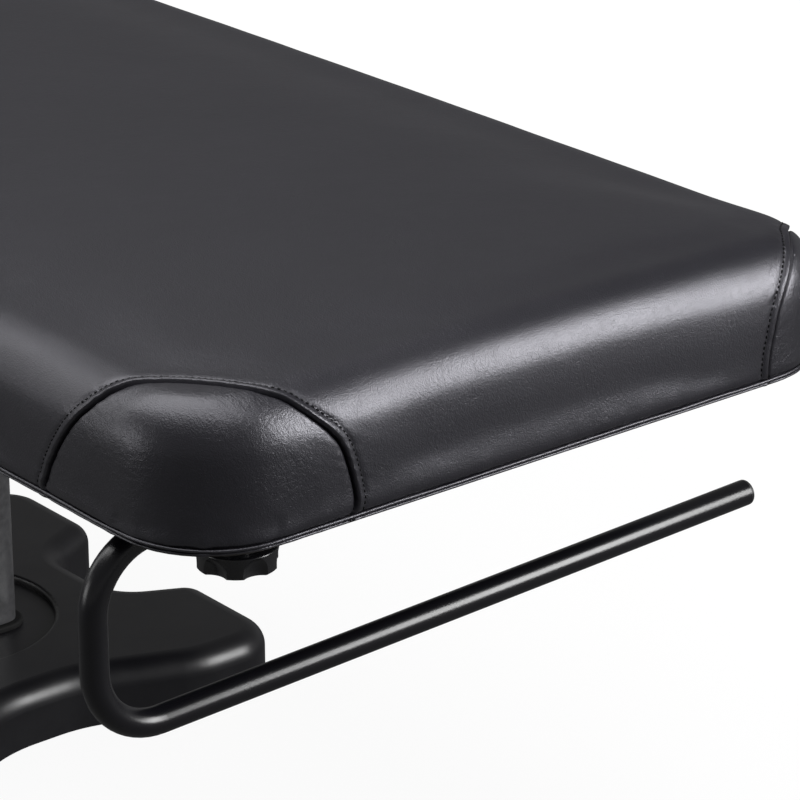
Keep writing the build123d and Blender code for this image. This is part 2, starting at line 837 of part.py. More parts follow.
def make_power_inlet():
    """Three-pin mains inlet with its flange on the recess."""
    with BuildPart() as inlet:
        with BuildSketch(panel_plane(0)):
            with Locations((inlet_place, 0)):
                Rectangle(inlet_width - 2 * soft_clearance, inlet_height - 2 * soft_clearance)
        extrude(amount=inlet_depth)
        with BuildSketch(panel_plane(0)):
            with Locations((inlet_place, 0)):
                RectangleRounded(
                    inlet_width + 2 * inlet_flange_rim, inlet_height + 2 * inlet_flange_rim, inlet_flange_rim
                )
        extrude(amount=-inlet_flange_thickness)
        with BuildSketch(panel_plane(-inlet_flange_thickness)):
            with Locations((inlet_place, 0)):
                Rectangle(inlet_width - 2 * inlet_socket_wall, inlet_height - 2 * inlet_socket_wall)
        extrude(amount=inlet_socket_depth, mode=Mode.SUBTRACT)
    save(inlet, "power_inlet")

    floor = inlet_socket_depth - inlet_flange_thickness
    with BuildPart() as pins:
        with BuildSketch(panel_plane(floor)):
            with Locations((inlet_place, 0)):
                with GridLocations(inlet_pin_pitch, 0, 3, 1):
                    Rectangle(inlet_pin_width, inlet_pin_height)
        extrude(amount=-inlet_pin_length)
    save(pins, "inlet_pins")


def make_mains_switch():
    """Rocker switch: a housing in the recess and a rocker that tips about its upright trunnions."""
    middle = (panel_bottom + panel_top) / 2
    pivot = (switch_place, panel_face - rocker_pivot_depth)
    cavity_half_height = switch_height / 2 - switch_wall
    trunnion_reach = cavity_half_height + rocker_trunnion_seat
    with BuildPart() as housing:
        with BuildSketch(panel_plane(0)):
            with Locations((switch_place, 0)):
                Rectangle(switch_width - 2 * soft_clearance, switch_height - 2 * soft_clearance)
        extrude(amount=switch_depth)
        with BuildSketch(panel_plane(0)):
            with Locations((switch_place, 0)):
                RectangleRounded(switch_width + 2 * switch_rim, switch_height + 2 * switch_rim, switch_rim)
        extrude(amount=-switch_rim_thickness)
        with BuildSketch(panel_plane(-switch_rim_thickness)):
            with Locations((switch_place, 0)):
                Rectangle(switch_width - 2 * switch_wall, 2 * cavity_half_height)
        extrude(amount=switch_rim_thickness + switch_cavity_depth, mode=Mode.SUBTRACT)
        cylinder_between(
            rocker_trunnion_radius + rocker_trunnion_clearance, middle - trunnion_reach,
            middle + trunnion_reach, [pivot], Mode.SUBTRACT,
        )
    save(housing, "mains_switch_housing")

    half_height = cavity_half_height - rocker_clearance
    with BuildPart() as rocker:
        with BuildSketch(Plane.XY.offset(middle - half_height)):
            with Locations(pivot):
                Polygon(
                    (-rocker_half_length, rocker_lip), (-rocker_half_length, rocker_shoulder),
                    (-rocker_keel, -rocker_keel), (rocker_keel, -rocker_keel),
                    (rocker_half_length, rocker_shoulder), (rocker_half_length, rocker_lip),
                    (0, rocker_dip), align=None,
                )
        extrude(amount=2 * half_height)
        cylinder_between(
            rocker_trunnion_radius, middle - trunnion_reach + rocker_trunnion_clearance,
            middle + trunnion_reach - rocker_trunnion_clearance, [pivot],
        )
    save(rocker, "mains_switch_rocker")


def make_hand_socket():
    """Round socket for a hand control, with five contact pins."""
    with BuildPart() as socket:
        with BuildSketch(panel_plane(0)):
            with Locations((hand_socket_place, 0)):
                Circle(hand_socket_radius - soft_clearance)
        extrude(amount=hand_socket_depth)
        with BuildSketch(panel_plane(0)):
            with Locations((hand_socket_place, 0)):
                Circle(hand_socket_flange_radius)
        extrude(amount=-hand_socket_flange_thickness)
        with BuildSketch(panel_plane(-hand_socket_flange_thickness)):
            with Locations((hand_socket_place, 0)):
                Circle(hand_socket_bore_radius)
        extrude(amount=hand_socket_bore_depth, mode=Mode.SUBTRACT)
    save(socket, "hand_control_socket")

    floor = hand_socket_bore_depth - hand_socket_flange_thickness
    with BuildPart() as pins:
        with BuildSketch(panel_plane(floor)):
            with Locations((hand_socket_place, 0)):
                with PolarLocations(hand_pin_circle_radius, hand_pin_count):
                    Circle(hand_pin_radius)
        extrude(amount=-hand_pin_length)
    save(pins, "hand_socket_pins")


# Paper roll bar
def bar_free_end_place():
    """Middle of the bar's free end, on the leg that rises slightly."""
    low = bar_axis_height - bar_drop
    rise = (bar_free_end - bar_leg_place) * math.tan(math.radians(bar_rise_angle))
    return Vector(bar_free_end, bar_place, low + rise)


def make_paper_bar():
    """Bent tube for the paper roll: a short leg in the socket, a drop and a long free leg."""
    low = bar_axis_height - bar_drop
    free_end = bar_free_end_place()
    with BuildPart() as bar:
        with BuildLine(Plane.XZ.offset(-bar_place)) as path:
            FilletPolyline(
                (bar_inner_end, bar_axis_height), (bar_leg_place, bar_axis_height), (bar_leg_place, low),
                (free_end.X, free_end.Z), radius=bar_bend_radius,
            )
        with BuildSketch(Plane(origin=(bar_inner_end, bar_place, bar_axis_height), z_dir=(-1, 0, 0))):
            Circle(bar_radius)
            Circle(bar_radius - bar_wall, mode=Mode.SUBTRACT)
        sweep(path=path.wires()[0])
    save(bar, "paper_bar")


def tube_plug(name, plane, rim_radius, rim_thickness):
    """A plastic plug on a tube's end: a spigot in the bore and a rounded rim over the edge."""
    with BuildPart() as plug:
        with BuildSketch(plane):
            Circle(rim_radius)
        extrude(amount=rim_thickness)
        outer_edge = plug.edges().sort_by(lambda edge: plane.to_local_coords(edge.center()).Z)[-1]
        fillet(outer_edge, rim_thickness * cap_round_share)
        with BuildSketch(plane):
            Circle(bar_radius - bar_wall - cap_fit)
        extrude(amount=-cap_spigot_length)
    save(plug, name)


def make_bar_plugs():
    """Domed cap on the free end, and a flush plug on the end inside the socket."""
    angle = math.radians(bar_rise_angle)
    free_plane = Plane(origin=bar_free_end_place(), z_dir=(math.cos(angle), 0, math.sin(angle)))
    inner_plane = Plane(origin=(bar_inner_end, bar_place, bar_axis_height), z_dir=(1, 0, 0))
    tube_plug("bar_end_cap", free_plane, cap_rim_radius, cap_rim_thickness)
    tube_plug("bar_inner_plug", inner_plane, bar_radius, inner_plug_thickness)


def socket_screw_places():
    """Screws at the corners of the socket's plate."""
    middle = socket_mouth + socket_length / 2
    x = socket_length / 2 - socket_screw_inset_x
    y = socket_plate_width / 2 - socket_screw_inset_y
    return [(middle + side * x, bar_place + end * y) for side in (-1, 1) for end in (-1, 1)]


def make_bar_socket():
    """Tube that takes the bar, webbed to a plate under the board and pierced for the clamp stud."""
    plate_bottom = top_underside - socket_plate_thickness
    mouth_plane = Plane(origin=(socket_mouth, bar_place, bar_axis_height), z_dir=(1, 0, 0))
    middle = socket_mouth + socket_length / 2
    with BuildPart() as socket:
        with BuildSketch(mouth_plane):
            Circle(socket_outer_radius)
        extrude(amount=socket_length)
        with BuildSketch(Plane.XY.offset(plate_bottom)):
            with Locations((middle, bar_place)):
                RectangleRounded(socket_length, socket_plate_width, socket_screw_inset_y / 2)
        extrude(amount=socket_plate_thickness)
        with BuildSketch(Plane.XY.offset(bar_axis_height)):
            with Locations((middle, bar_place)):
                Rectangle(socket_length, socket_web_width)
        extrude(amount=plate_bottom - bar_axis_height)
        with BuildSketch(mouth_plane):
            Circle(bar_radius + socket_clearance)
        extrude(amount=socket_length, mode=Mode.SUBTRACT)
        cylinder_between(
            stud_radius + stud_clearance, bar_axis_height - socket_outer_radius, bar_axis_height,
            [(clamp_place_x, bar_place)], Mode.SUBTRACT,
        )
        cylinder_between(
            socket_screw_radius + stud_clearance, plate_bottom, top_underside, socket_screw_places(),
            Mode.SUBTRACT,
        )
    save(socket, "bar_socket")

    with BuildPart() as screws:
        head_bottom = plate_bottom - socket_screw_head_height
        cylinder_between(
            socket_screw_radius, plate_bottom, plate_bottom + socket_screw_length, socket_screw_places()
        )
        cylinder_between(socket_screw_head_radius, head_bottom, plate_bottom, socket_screw_places())
        fillet(screws.faces().sort_by(Axis.Z)[:4].edges(), socket_screw_head_height / 3)
    save(screws, "socket_screws")


def make_clamp_nut():
    """Welded nut under the socket, saddled to the tube."""
    place = [(clamp_place_x, bar_place)]
    with BuildPart() as nut:
        cylinder_between(clamp_nut_radius, clamp_nut_bottom, bar_axis_height, place)
        with BuildSketch(Plane(origin=(socket_mouth, bar_place, bar_axis_height), z_dir=(1, 0, 0))):
            Circle(socket_outer_radius)
        extrude(amount=socket_length, mode=Mode.SUBTRACT)
        bore = stud_radius + stud_clearance
        cylinder_between(bore, clamp_nut_bottom, bar_axis_height, place, Mode.SUBTRACT)
        chamfer(nut.faces().sort_by(Axis.Z)[0].outer_wire().edges(), clamp_nut_height / 8)
    save(nut, "clamp_nut")


def make_clamp_knob():
    """Star knob: a round grip with arched finger recesses and a hub, moulded on a threaded stud."""
    foot = Plane(origin=(clamp_place_x, bar_place, knob_bottom))
    stud_foot = knob_lobe_height + knob_hub_height - knob_stud_engagement
    stud_tip = bar_axis_height - bar_radius - stud_tip_gap - knob_bottom
    with BuildPart() as knob:
        with BuildSketch(foot):
            Circle(knob_radius)
        extrude(amount=knob_lobe_height)
        fillet(knob.edges().filter_by(GeomType.CIRCLE), knob_rim_fillet)
        with BuildSketch(foot.offset(knob_lobe_height)):
            Circle(knob_hub_radius)
        extrude(amount=knob_hub_height)
        with Locations(foot.offset(knob_recess_height)):
            with PolarLocations(knob_scallop_place, knob_lobe_count, start_angle=knob_turn_at_rest):
                Sphere(knob_scallop_radius, mode=Mode.SUBTRACT)
                Cylinder(
                    knob_scallop_radius, knob_recess_height, align=(Align.CENTER, Align.CENTER, Align.MAX),
                    mode=Mode.SUBTRACT,
                )
        with BuildSketch(foot):
            Circle(knob_dish_radius)
        extrude(amount=knob_dish_depth, mode=Mode.SUBTRACT)
        with BuildSketch(foot.offset(stud_foot)):
            Circle(stud_radius)
        extrude(amount=knob_stud_engagement, mode=Mode.SUBTRACT)
    save(knob, "clamp_knob")

    with BuildPart() as stud:
        with BuildSketch(foot.offset(stud_foot)):
            Circle(stud_radius)
        extrude(amount=stud_tip - stud_foot)
        chamfer(stud.faces().sort_by(Axis.Z)[-1].edges(), stud_radius / 5)
    save(stud, "clamp_stud")


def main():
    """Make every sub-part."""
    os.makedirs("parts", exist_ok=True)
    make_cover()
    make_foam()
    make_board()
    make_hem_bead()
    make_rails()
    make_cross_members()
    make_head_plate()
    make_rail_screws()
    make_column_tubes()
    make_glides()
    make_column_caps()
    make_foot_flange()
    make_foot_bolts()
    make_drive()
    make_base_cover()
    make_base_plate()
    make_floor_pads()
    make_cover_screws()
    make_column_seal()
    make_control_box()
    make_power_inlet()
    make_mains_switch()
    make_hand_socket()
    make_paper_bar()
    make_bar_plugs()
    make_bar_socket()
    make_clamp_nut()
    make_clamp_knob()


main()
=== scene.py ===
import math

import bmesh
import bpy
import numpy as np
from mathutils import Matrix, Vector, noise
from mathutils.bvhtree import BVHTree


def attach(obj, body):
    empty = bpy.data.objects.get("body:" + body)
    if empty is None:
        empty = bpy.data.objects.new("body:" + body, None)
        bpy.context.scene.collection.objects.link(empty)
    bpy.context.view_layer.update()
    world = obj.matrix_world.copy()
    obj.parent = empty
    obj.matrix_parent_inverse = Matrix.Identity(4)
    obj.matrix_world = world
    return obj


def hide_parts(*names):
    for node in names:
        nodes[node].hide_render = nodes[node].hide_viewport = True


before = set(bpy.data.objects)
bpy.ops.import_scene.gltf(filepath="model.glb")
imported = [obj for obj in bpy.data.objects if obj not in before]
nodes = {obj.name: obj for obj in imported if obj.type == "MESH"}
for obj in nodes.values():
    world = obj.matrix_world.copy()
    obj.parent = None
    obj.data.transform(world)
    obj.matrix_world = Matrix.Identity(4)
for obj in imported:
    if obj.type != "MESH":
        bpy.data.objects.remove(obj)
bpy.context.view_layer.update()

# Upholstered top, in metres
HALF_WIDTH = 0.381
HALF_LENGTH = 1.016
BOARD_TOP = 0.607
CROWN_TOP = 0.724
CROWN = 0.005
CORNER_RADIUS = 0.095
WIDEST = 0.652  # height at which the bulged side stands out furthest
NOSE = 0.043  # how far in the round edge reaches
NOSE_RISE = 0.051  # how high the round edge is
NOSE_START = 0.668  # height at which the side turns into the round edge
NOSE_TRIM = 0.0005
WINDOW_INSET = 0.051  # vinyl wrapped under the board
SKIN_FOOT = 0.603  # the skin hangs free above this height
WRAP_HEIGHT = 0.5855  # the skin lies flat under the board below this height
SHRINK = 0.001
BEAD_INSET = 0.0044
BEAD_HEIGHT = 0.5944
BEAD_RADIUS = 0.0014
CORNERS = ((-1, -1), (1, -1), (-1, 1), (1, 1))
CORNER_ZONE = (0.08, 0.65)  # a corner's part of the skin lies beyond these, across and along the top

# Section of the skin from the board, round the window under it and up to the side: inset and height
EDGE_SECTION = (
    (0.0080, BOARD_TOP), (0.0080, 0.598), (0.0082, 0.5888), (0.030, 0.5880), (WINDOW_INSET, 0.5880),
    (WINDOW_INSET + 0.0008, 0.5874), (WINDOW_INSET, 0.5868), (0.040, 0.5866), (0.024, 0.5869),
    (0.0140, 0.5876), (0.0080, 0.5888), (0.0050, 0.5896), (0.0040, 0.5905), (0.0044, 0.5917),
    (0.0060, 0.5923), (0.0064, 0.5935), (0.0064, 0.5952), (0.0056, 0.5965), (0.0040, 0.5975),
    (0.0032, 0.5998),
)
SIDE_HEIGHTS = (0.604, 0.611, 0.620, 0.630, 0.641, 0.652, 0.660)

# Course of a corner's seam: the straight line that it starts from, and how far it bows towards the corner, by
# height on the side and on the end, and by its own length on the top
SEAM_RUN = (0.085, 0.107)
SEAM_WAY = (0.783, 0.622)
NARROW_SHARE = 0.64
SIDE_BOW = (
    (0.599, 0.0021), (0.625, 0.0105), (0.645, 0.0193), (0.659, 0.0259), (0.676, 0.0335), (0.690, 0.0380),
    (0.700, 0.0388), (0.708, 0.0378), (0.715, 0.0354),
)
END_BOW = (
    (0.595, -0.0041), (0.602, -0.0050), (0.609, -0.0054), (0.618, -0.0045), (0.6275, -0.0026),
    (0.637, -0.0001), (0.647, 0.0025), (0.657, 0.0053), (0.667, 0.0095), (0.679, 0.0165), (0.690, 0.0230),
    (0.700, 0.0275), (0.7116, 0.0311), (0.7165, 0.0330),
)
TOP_BOW = (
    (-0.061, 0.0385), (-0.0375, 0.0352), (-0.018, 0.0322), (0.0, 0.0303), (0.018, 0.0298), (0.036, 0.0310),
    (0.055, 0.0330),
)

# The seam in section: lines cut beside it, and how far the skin is raised, by distance from it
SEAM_LINES = (
    -0.020, -0.015, -0.0115, -0.0098, -0.0086, -0.0074, -0.0062, -0.0048, -0.0034, -0.0022, -0.0014, -0.0007,
    0.0, 0.0007, 0.0014, 0.0024, 0.0038, 0.0056, 0.008, 0.012,
)
MAIN_PROFILE = (
    (0.0, -0.0048), (0.0005, -0.0030), (0.0010, -0.0005), (0.0016, 0.0010), (0.0026, 0.0016),
    (0.0044, 0.0013), (0.0066, 0.0006), (0.0080, -0.0003), (0.0088, -0.0009), (0.0098, -0.0003),
    (0.0130, 0.0001), (0.022, 0.0),
)
PATCH_PROFILE = (
    (0.0, -0.0048), (0.0007, -0.0040), (0.0014, -0.0024), (0.0024, -0.0011), (0.0038, -0.0005), (0.008, 0.0),
    (0.020, 0.0005), (0.032, 0.0010),
)
SEAM_TUCK = 0.004
STITCH_OFFSET = 0.0088
STITCH_PITCH = 0.0052


# Materials
def node_adder(tree):
    """A function that adds a node to the tree, with values for its settings and sockets."""
    def add(kind, **values):
        node = tree.nodes.new(kind)
        for key, value in values.items():
            if hasattr(node, key):
                setattr(node, key, value)
            else:
                node.inputs[key.replace("_", " ")].default_value = value
        return node

    return add


def new_material(name):
    """A material with its node tree, its shader, and a function that adds nodes."""
    material = bpy.data.materials.new(name)
    material.use_nodes = True
    tree = material.node_tree
    return material, tree, tree.nodes["Principled BSDF"], node_adder(tree)


def surface(name, color, rough, metallic=0.0, specular=0.5, grain=900.0, height=0.00005, stretch=(1, 1, 1),
            variation=0.12, rough_variation=0.10, wear=0.0, wear_color=(0.25, 0.25, 0.26)):
    """Painted, moulded or bare material: mottled colour, uneven gloss, fine grain and rubbed edges."""
    material, tree, shader, add = new_material(name)
    link = tree.links.new
    place = add("ShaderNodeTexCoord")
    mapping = add("ShaderNodeMapping", Scale=stretch)
    link(place.outputs["Object"], mapping.inputs["Vector"])

    broad = add("ShaderNodeTexNoise", Scale=14.0, Detail=4.0, Roughness=0.6)
    fine = add("ShaderNodeTexNoise", Scale=grain, Detail=3.0, Roughness=0.65)
    link(place.outputs["Object"], broad.inputs["Vector"])
    link(mapping.outputs["Vector"], fine.inputs["Vector"])

    tint = add("ShaderNodeMapRange", To_Min=1.0 - variation, To_Max=1.0 + variation)
    link(broad.outputs["Fac"], tint.inputs["Value"])
    shade = add("ShaderNodeMix", data_type="RGBA", blend_type="MULTIPLY", Factor=1.0, A=(*color, 1.0))
    link(tint.outputs["Result"], shade.inputs["B"])
    out = shade.outputs["Result"]

    if wear:
        geometry = add("ShaderNodeNewGeometry")
        edge = add("ShaderNodeMapRange", From_Min=0.53, From_Max=0.62)
        link(geometry.outputs["Pointiness"], edge.inputs["Value"])
        patchy = add("ShaderNodeTexNoise", Scale=120.0, Detail=4.0, Roughness=0.7)
        link(place.outputs["Object"], patchy.inputs["Vector"])
        amount = add("ShaderNodeMath", operation="MULTIPLY")
        link(edge.outputs["Result"], amount.inputs[0])
        link(patchy.outputs["Fac"], amount.inputs[1])
        scaled = add("ShaderNodeMath", operation="MULTIPLY")
        scaled.inputs[1].default_value = wear
        link(amount.outputs["Value"], scaled.inputs[0])
        rubbed = add("ShaderNodeMix", data_type="RGBA", B=(*wear_color, 1.0))
        link(scaled.outputs["Value"], rubbed.inputs["Factor"])
        link(out, rubbed.inputs["A"])
        out = rubbed.outputs["Result"]
    link(out, shader.inputs["Base Color"])

    gloss = add("ShaderNodeMapRange", To_Min=max(rough - rough_variation, 0.03),
                To_Max=min(rough + rough_variation, 1.0))
    link(broad.outputs["Fac"], gloss.inputs["Value"])
    link(gloss.outputs["Result"], shader.inputs["Roughness"])

    bump = add("ShaderNodeBump", Strength=1.0, Distance=height)
    link(fine.outputs["Fac"], bump.inputs["Height"])
    link(bump.outputs["Normal"], shader.inputs["Normal"])
    shader.inputs["Metallic"].default_value = metallic
    shader.inputs["Specular IOR Level"].default_value = specular
    return material


def vinyl_material(name, color, rough, crease=0.00026):
    """Upholstery vinyl: a net of small cells with painted shade in the furrows between them, short creases
    that run about, and slightly uneven gloss.
    """
    material, tree, shader, add = new_material(name)
    link = tree.links.new
    place = add("ShaderNodeTexCoord")

    warp = add("ShaderNodeTexNoise", Scale=70.0, Detail=3.0, Roughness=0.6)
    link(place.outputs["Object"], warp.inputs["Vector"])
    shift = add("ShaderNodeVectorMath", operation="SCALE", Scale=0.010)
    link(warp.outputs["Color"], shift.inputs[0])
    warped = add("ShaderNodeVectorMath", operation="ADD")
    link(place.outputs["Object"], warped.inputs[0])
    link(shift.outputs["Vector"], warped.inputs[1])

    cells = add("ShaderNodeTexVoronoi", feature="SMOOTH_F1", Scale=760.0, Smoothness=0.35)
    link(warped.outputs["Vector"], cells.inputs["Vector"])
    stretched = add("ShaderNodeMapping", Scale=(1.0, 0.38, 0.8))
    link(warped.outputs["Vector"], stretched.inputs["Vector"])
    folds = add("ShaderNodeTexNoise", Scale=330.0, Detail=4.0, Roughness=0.62)
    link(stretched.outputs["Vector"], folds.inputs["Vector"])
    zone = add("ShaderNodeTexNoise", Scale=22.0, Detail=2.0)
    link(place.outputs["Object"], zone.inputs["Vector"])
    zoned = add("ShaderNodeMapRange", interpolation_type="SMOOTHSTEP", From_Min=0.35, From_Max=0.70,
                To_Min=0.35)
    link(zone.outputs["Fac"], zoned.inputs["Value"])
    folded = add("ShaderNodeMath", operation="MULTIPLY")
    link(folds.outputs["Fac"], folded.inputs[0])
    link(zoned.outputs["Result"], folded.inputs[1])

    first = add("ShaderNodeBump", Strength=1.0, Distance=0.00013)
    link(cells.outputs["Distance"], first.inputs["Height"])
    second = add("ShaderNodeBump", Strength=1.0, Distance=crease)
    link(folded.outputs["Value"], second.inputs["Height"])
    link(first.outputs["Normal"], second.inputs["Normal"])
    link(second.outputs["Normal"], shader.inputs["Normal"])

    broad = add("ShaderNodeTexNoise", Scale=7.0, Detail=5.0, Roughness=0.6)
    link(place.outputs["Object"], broad.inputs["Vector"])
    tint = add("ShaderNodeMapRange", To_Min=0.82, To_Max=1.2)
    link(broad.outputs["Fac"], tint.inputs["Value"])
    # painted shade: the colour darkens towards the edges of the grain cells, in the furrows between them
    furrow_shade = add("ShaderNodeMapRange", From_Max=0.7, To_Min=1.1, To_Max=0.7)
    link(cells.outputs["Distance"], furrow_shade.inputs["Value"])
    both = add("ShaderNodeMath", operation="MULTIPLY")
    link(tint.outputs["Result"], both.inputs[0])
    link(furrow_shade.outputs["Result"], both.inputs[1])
    shade = add("ShaderNodeMix", data_type="RGBA", blend_type="MULTIPLY", Factor=1.0, A=(*color, 1.0))
    link(both.outputs["Value"], shade.inputs["B"])
    link(shade.outputs["Result"], shader.inputs["Base Color"])
    gloss = add("ShaderNodeMapRange", To_Min=rough - 0.03, To_Max=rough + 0.03)
    link(broad.outputs["Fac"], gloss.inputs["Value"])
    link(gloss.outputs["Result"], shader.inputs["Roughness"])
    shader.inputs["Specular IOR Level"].default_value = 0.9
    shader.inputs["Specular Tint"].default_value = (0.93, 0.92, 1.0, 1.0)
    shader.inputs["Sheen Weight"].default_value = 0.01
    shader.inputs["Sheen Roughness"].default_value = 0.4
    return material


def plywood_material():
    """Plywood stained black: long flowing grain on the faces and thin veneers on the edge."""
    material, tree, shader, add = new_material("plywood_looks")
    link = tree.links.new
    place = add("ShaderNodeTexCoord")
    mapping = add("ShaderNodeMapping", Scale=(26.0, 1.6, 420.0))
    link(place.outputs["Object"], mapping.inputs["Vector"])
    figure = add("ShaderNodeTexNoise", Scale=1.0, Detail=6.0, Roughness=0.65, Distortion=0.8)
    link(mapping.outputs["Vector"], figure.inputs["Vector"])
    ramp = add("ShaderNodeValToRGB")
    dark, light = ramp.color_ramp.elements
    dark.position, dark.color = 0.3, (0.018, 0.015, 0.013, 1)
    light.position, light.color = 0.7, (0.040, 0.034, 0.030, 1)
    link(figure.outputs["Fac"], ramp.inputs["Fac"])
    link(ramp.outputs["Color"], shader.inputs["Base Color"])
    bump = add("ShaderNodeBump", Strength=0.6, Distance=0.0002)
    link(figure.outputs["Fac"], bump.inputs["Height"])
    link(bump.outputs["Normal"], shader.inputs["Normal"])
    gloss = add("ShaderNodeMapRange", To_Min=0.55, To_Max=0.8)
    link(figure.outputs["Fac"], gloss.inputs["Value"])
    link(gloss.outputs["Result"], shader.inputs["Roughness"])
    return material


vinyl = vinyl_material("vinyl_looks", (0.0072, 0.0067, 0.0106), 0.390)
vinyl_patch = vinyl_material("vinyl_patch_looks", (0.0072, 0.0067, 0.0104), 0.385, crease=0.00050)
thread = surface("thread_looks", (0.0022, 0.0022, 0.0026), 0.75, grain=4000, height=0.0001,
                 stretch=(1, 1, 0.3), specular=0.2)
frame_paint = surface("frame_paint_looks", (0.018, 0.018, 0.020), 0.42, grain=1400, height=0.00004, wear=0.5)
column_paint = surface("column_paint_looks", (0.020, 0.020, 0.022), 0.34, grain=1500, height=0.00003,
                       wear=0.5)
glide_plastic = surface("glide_looks", (0.62, 0.61, 0.57), 0.5, grain=700, height=0.00003)
trim_plastic = surface("trim_looks", (0.012, 0.012, 0.013), 0.5, grain=1800, height=0.00006)
zinc_steel = surface("zinc_looks", (0.45, 0.45, 0.46), 0.32, metallic=1.0, grain=500, height=0.00002,
                     variation=0.2)
motor_paint = surface("motor_looks", (0.05, 0.05, 0.055), 0.4, grain=900, height=0.00005, wear=0.6)
cast_aluminium = surface("cast_looks", (0.55, 0.55, 0.56), 0.48, metallic=1.0, grain=600, height=0.00015,
                         variation=0.2)
drive_steel = surface("drive_steel_looks", (0.40, 0.40, 0.41), 0.26, metallic=1.0, grain=300,
                      height=0.00003, stretch=(1, 1, 0.05))
base_plastic = surface("base_moulding_looks", (0.0060, 0.0057, 0.0080), 0.37, specular=0.7, grain=1500,
                       height=0.00005, variation=0.10, wear=0.35, wear_color=(0.05, 0.05, 0.055))
rubber = surface("rubber_looks", (0.010, 0.010, 0.010), 0.75, grain=1300, height=0.0001, specular=0.3)
control_paint = surface("control_box_looks", (0.11, 0.115, 0.12), 0.45, grain=1200, height=0.00005, wear=0.5)
electrical_plastic = surface("electrical_looks", (0.011, 0.011, 0.012), 0.46, grain=2000, height=0.00005)
rocker_plastic = surface("rocker_looks", (0.02, 0.02, 0.021), 0.22, grain=2200, height=0.00001)
contact_brass = surface("contact_looks", (0.72, 0.58, 0.32), 0.25, metallic=1.0, grain=1500, height=0.00001)
bar_coat = surface("bar_coat_looks", (0.0056, 0.0054, 0.0074), 0.26, specular=0.5, grain=1700,
                   height=0.00003, variation=0.08, rough_variation=0.04)
socket_coat = surface("socket_coat_looks", (0.0145, 0.0145, 0.0165), 0.42, grain=1500, height=0.00007,
                      wear=0.5)
knob_plastic = surface("knob_looks", (0.0060, 0.0058, 0.0076), 0.26, specular=0.7, grain=1900,
                       height=0.00004, wear=0.2)
plywood = plywood_material()

finishes = (
    (frame_paint, ("left_rail", "right_rail", "foot_cross_member", "column_cross_member_foot",
                   "column_cross_member_head", "head_cross_member", "column_head_plate",
                   "column_foot_flange", "base_plate")),
    (column_paint, ("column_outer_tube", "column_middle_tube", "column_inner_tube")),
    (glide_plastic, ("outer_tube_glides", "middle_tube_foot_glides", "middle_tube_mouth_glides",
                     "inner_tube_foot_glides")),
    (trim_plastic, ("outer_tube_cap", "middle_tube_cap", "bar_end_cap", "bar_inner_plug")),
    (zinc_steel, ("rail_screws", "column_foot_bolts", "cover_screws", "socket_screws", "clamp_stud")),
    (motor_paint, ("lift_motor",)),
    (cast_aluminium, ("lift_gearbox",)),
    (drive_steel, ("actuator_outer_tube", "actuator_middle_tube", "actuator_rod")),
    (base_plastic, ("base_cover",)),
    (rubber, ("floor_pads", "column_seal")),
    (control_paint, ("control_box", "control_box_lid")),
    (electrical_plastic, ("power_inlet", "mains_switch_housing", "hand_control_socket")),
    (rocker_plastic, ("mains_switch_rocker",)),
    (contact_brass, ("inlet_pins", "hand_socket_pins")),
    (bar_coat, ("paper_bar",)),
    (socket_coat, ("bar_socket", "clamp_nut")),
    (knob_plastic, ("clamp_knob",)),
    (plywood, ("top_board",)),
    (vinyl, ("foam_core", "cushion_cover", "hem_bead")),
    (vinyl_patch, ("corner_patches",)),
)
for material, names in finishes:
    for name in names:
        nodes[name].data.materials.clear()
        nodes[name].data.materials.append(material)


def new_object(name, bm, material):
    """A smoothly shaded object made from a bmesh, which is freed."""
    mesh = bpy.data.meshes.new(name)
    bm.to_mesh(mesh)
    bm.free()
    for polygon in mesh.polygons:
        polygon.use_smooth = True
    mesh.materials.append(material)
    piece = bpy.data.objects.new(name, mesh)
    bpy.context.scene.collection.objects.link(piece)
    return piece


def join_rings(bm, lower, upper):
    """Quads between two closed rings of as many points."""
    count = len(lower)
    for i in range(count):
        j = (i + 1) % count
        bm.faces.new((lower[i], lower[j], upper[j], upper[i]))


# Upholstered top
def ease(t):
    """Slow start and end for a share between nought and one, a number or an array."""
    return t * t * (3 - 2 * t)


def smoothstep(low, high, value):
    return ease(min(max((value - low) / (high - low), 0.0), 1.0))


def side_draw(z):
    """How far the bulged side stands back at a height: nought at its widest, more above and below."""
    if z > WIDEST:
        return 0.005 * ((z - WIDEST) / 0.092) ** 2
    return 0.003 * ((WIDEST - z) / 0.054) ** 2


def crown_height(x, y):
    """Height of the crowned top over a point."""
    across = (HALF_WIDTH**2 + CROWN**2) / (2 * CROWN)
    along = (HALF_LENGTH**2 + CROWN**2) / (2 * CROWN)
    return CROWN_TOP - x * x / (2 * across) - y * y / (2 * along)


def inner_size(inset):
    """Half width, half length and corner radius of the top's outline, an inset inside its edge."""
    return HALF_WIDTH - inset, HALF_LENGTH - inset, CORNER_RADIUS - inset


def outline(inset, segments):
    """Points round a rounded rectangle, the same number on each straight and each corner."""
    side, end, corner = segments
    hx, hy, radius = inner_size(inset)
    cx, cy = hx - radius, hy - radius
    runs = (
        ((hx, -cy), (hx, cy), side, 0, (cx, cy)),
        ((cx, hy), (-cx, hy), end, 90, (-cx, cy)),
        ((-hx, cy), (-hx, -cy), side, 180, (-cx, -cy)),
        ((-cx, -hy), (cx, -hy), end, 270, (cx, -cy)),
    )
    points = []
    for start, stop, count, angle, centre in runs:
        for i in range(count):
            t = i / count
            points.append((start[0] + (stop[0] - start[0]) * t, start[1] + (stop[1] - start[1]) * t))
        for i in range(corner):
            turn = math.radians(angle + 90 * i / corner)
            points.append((centre[0] + radius * math.cos(turn), centre[1] + radius * math.sin(turn)))
    return points


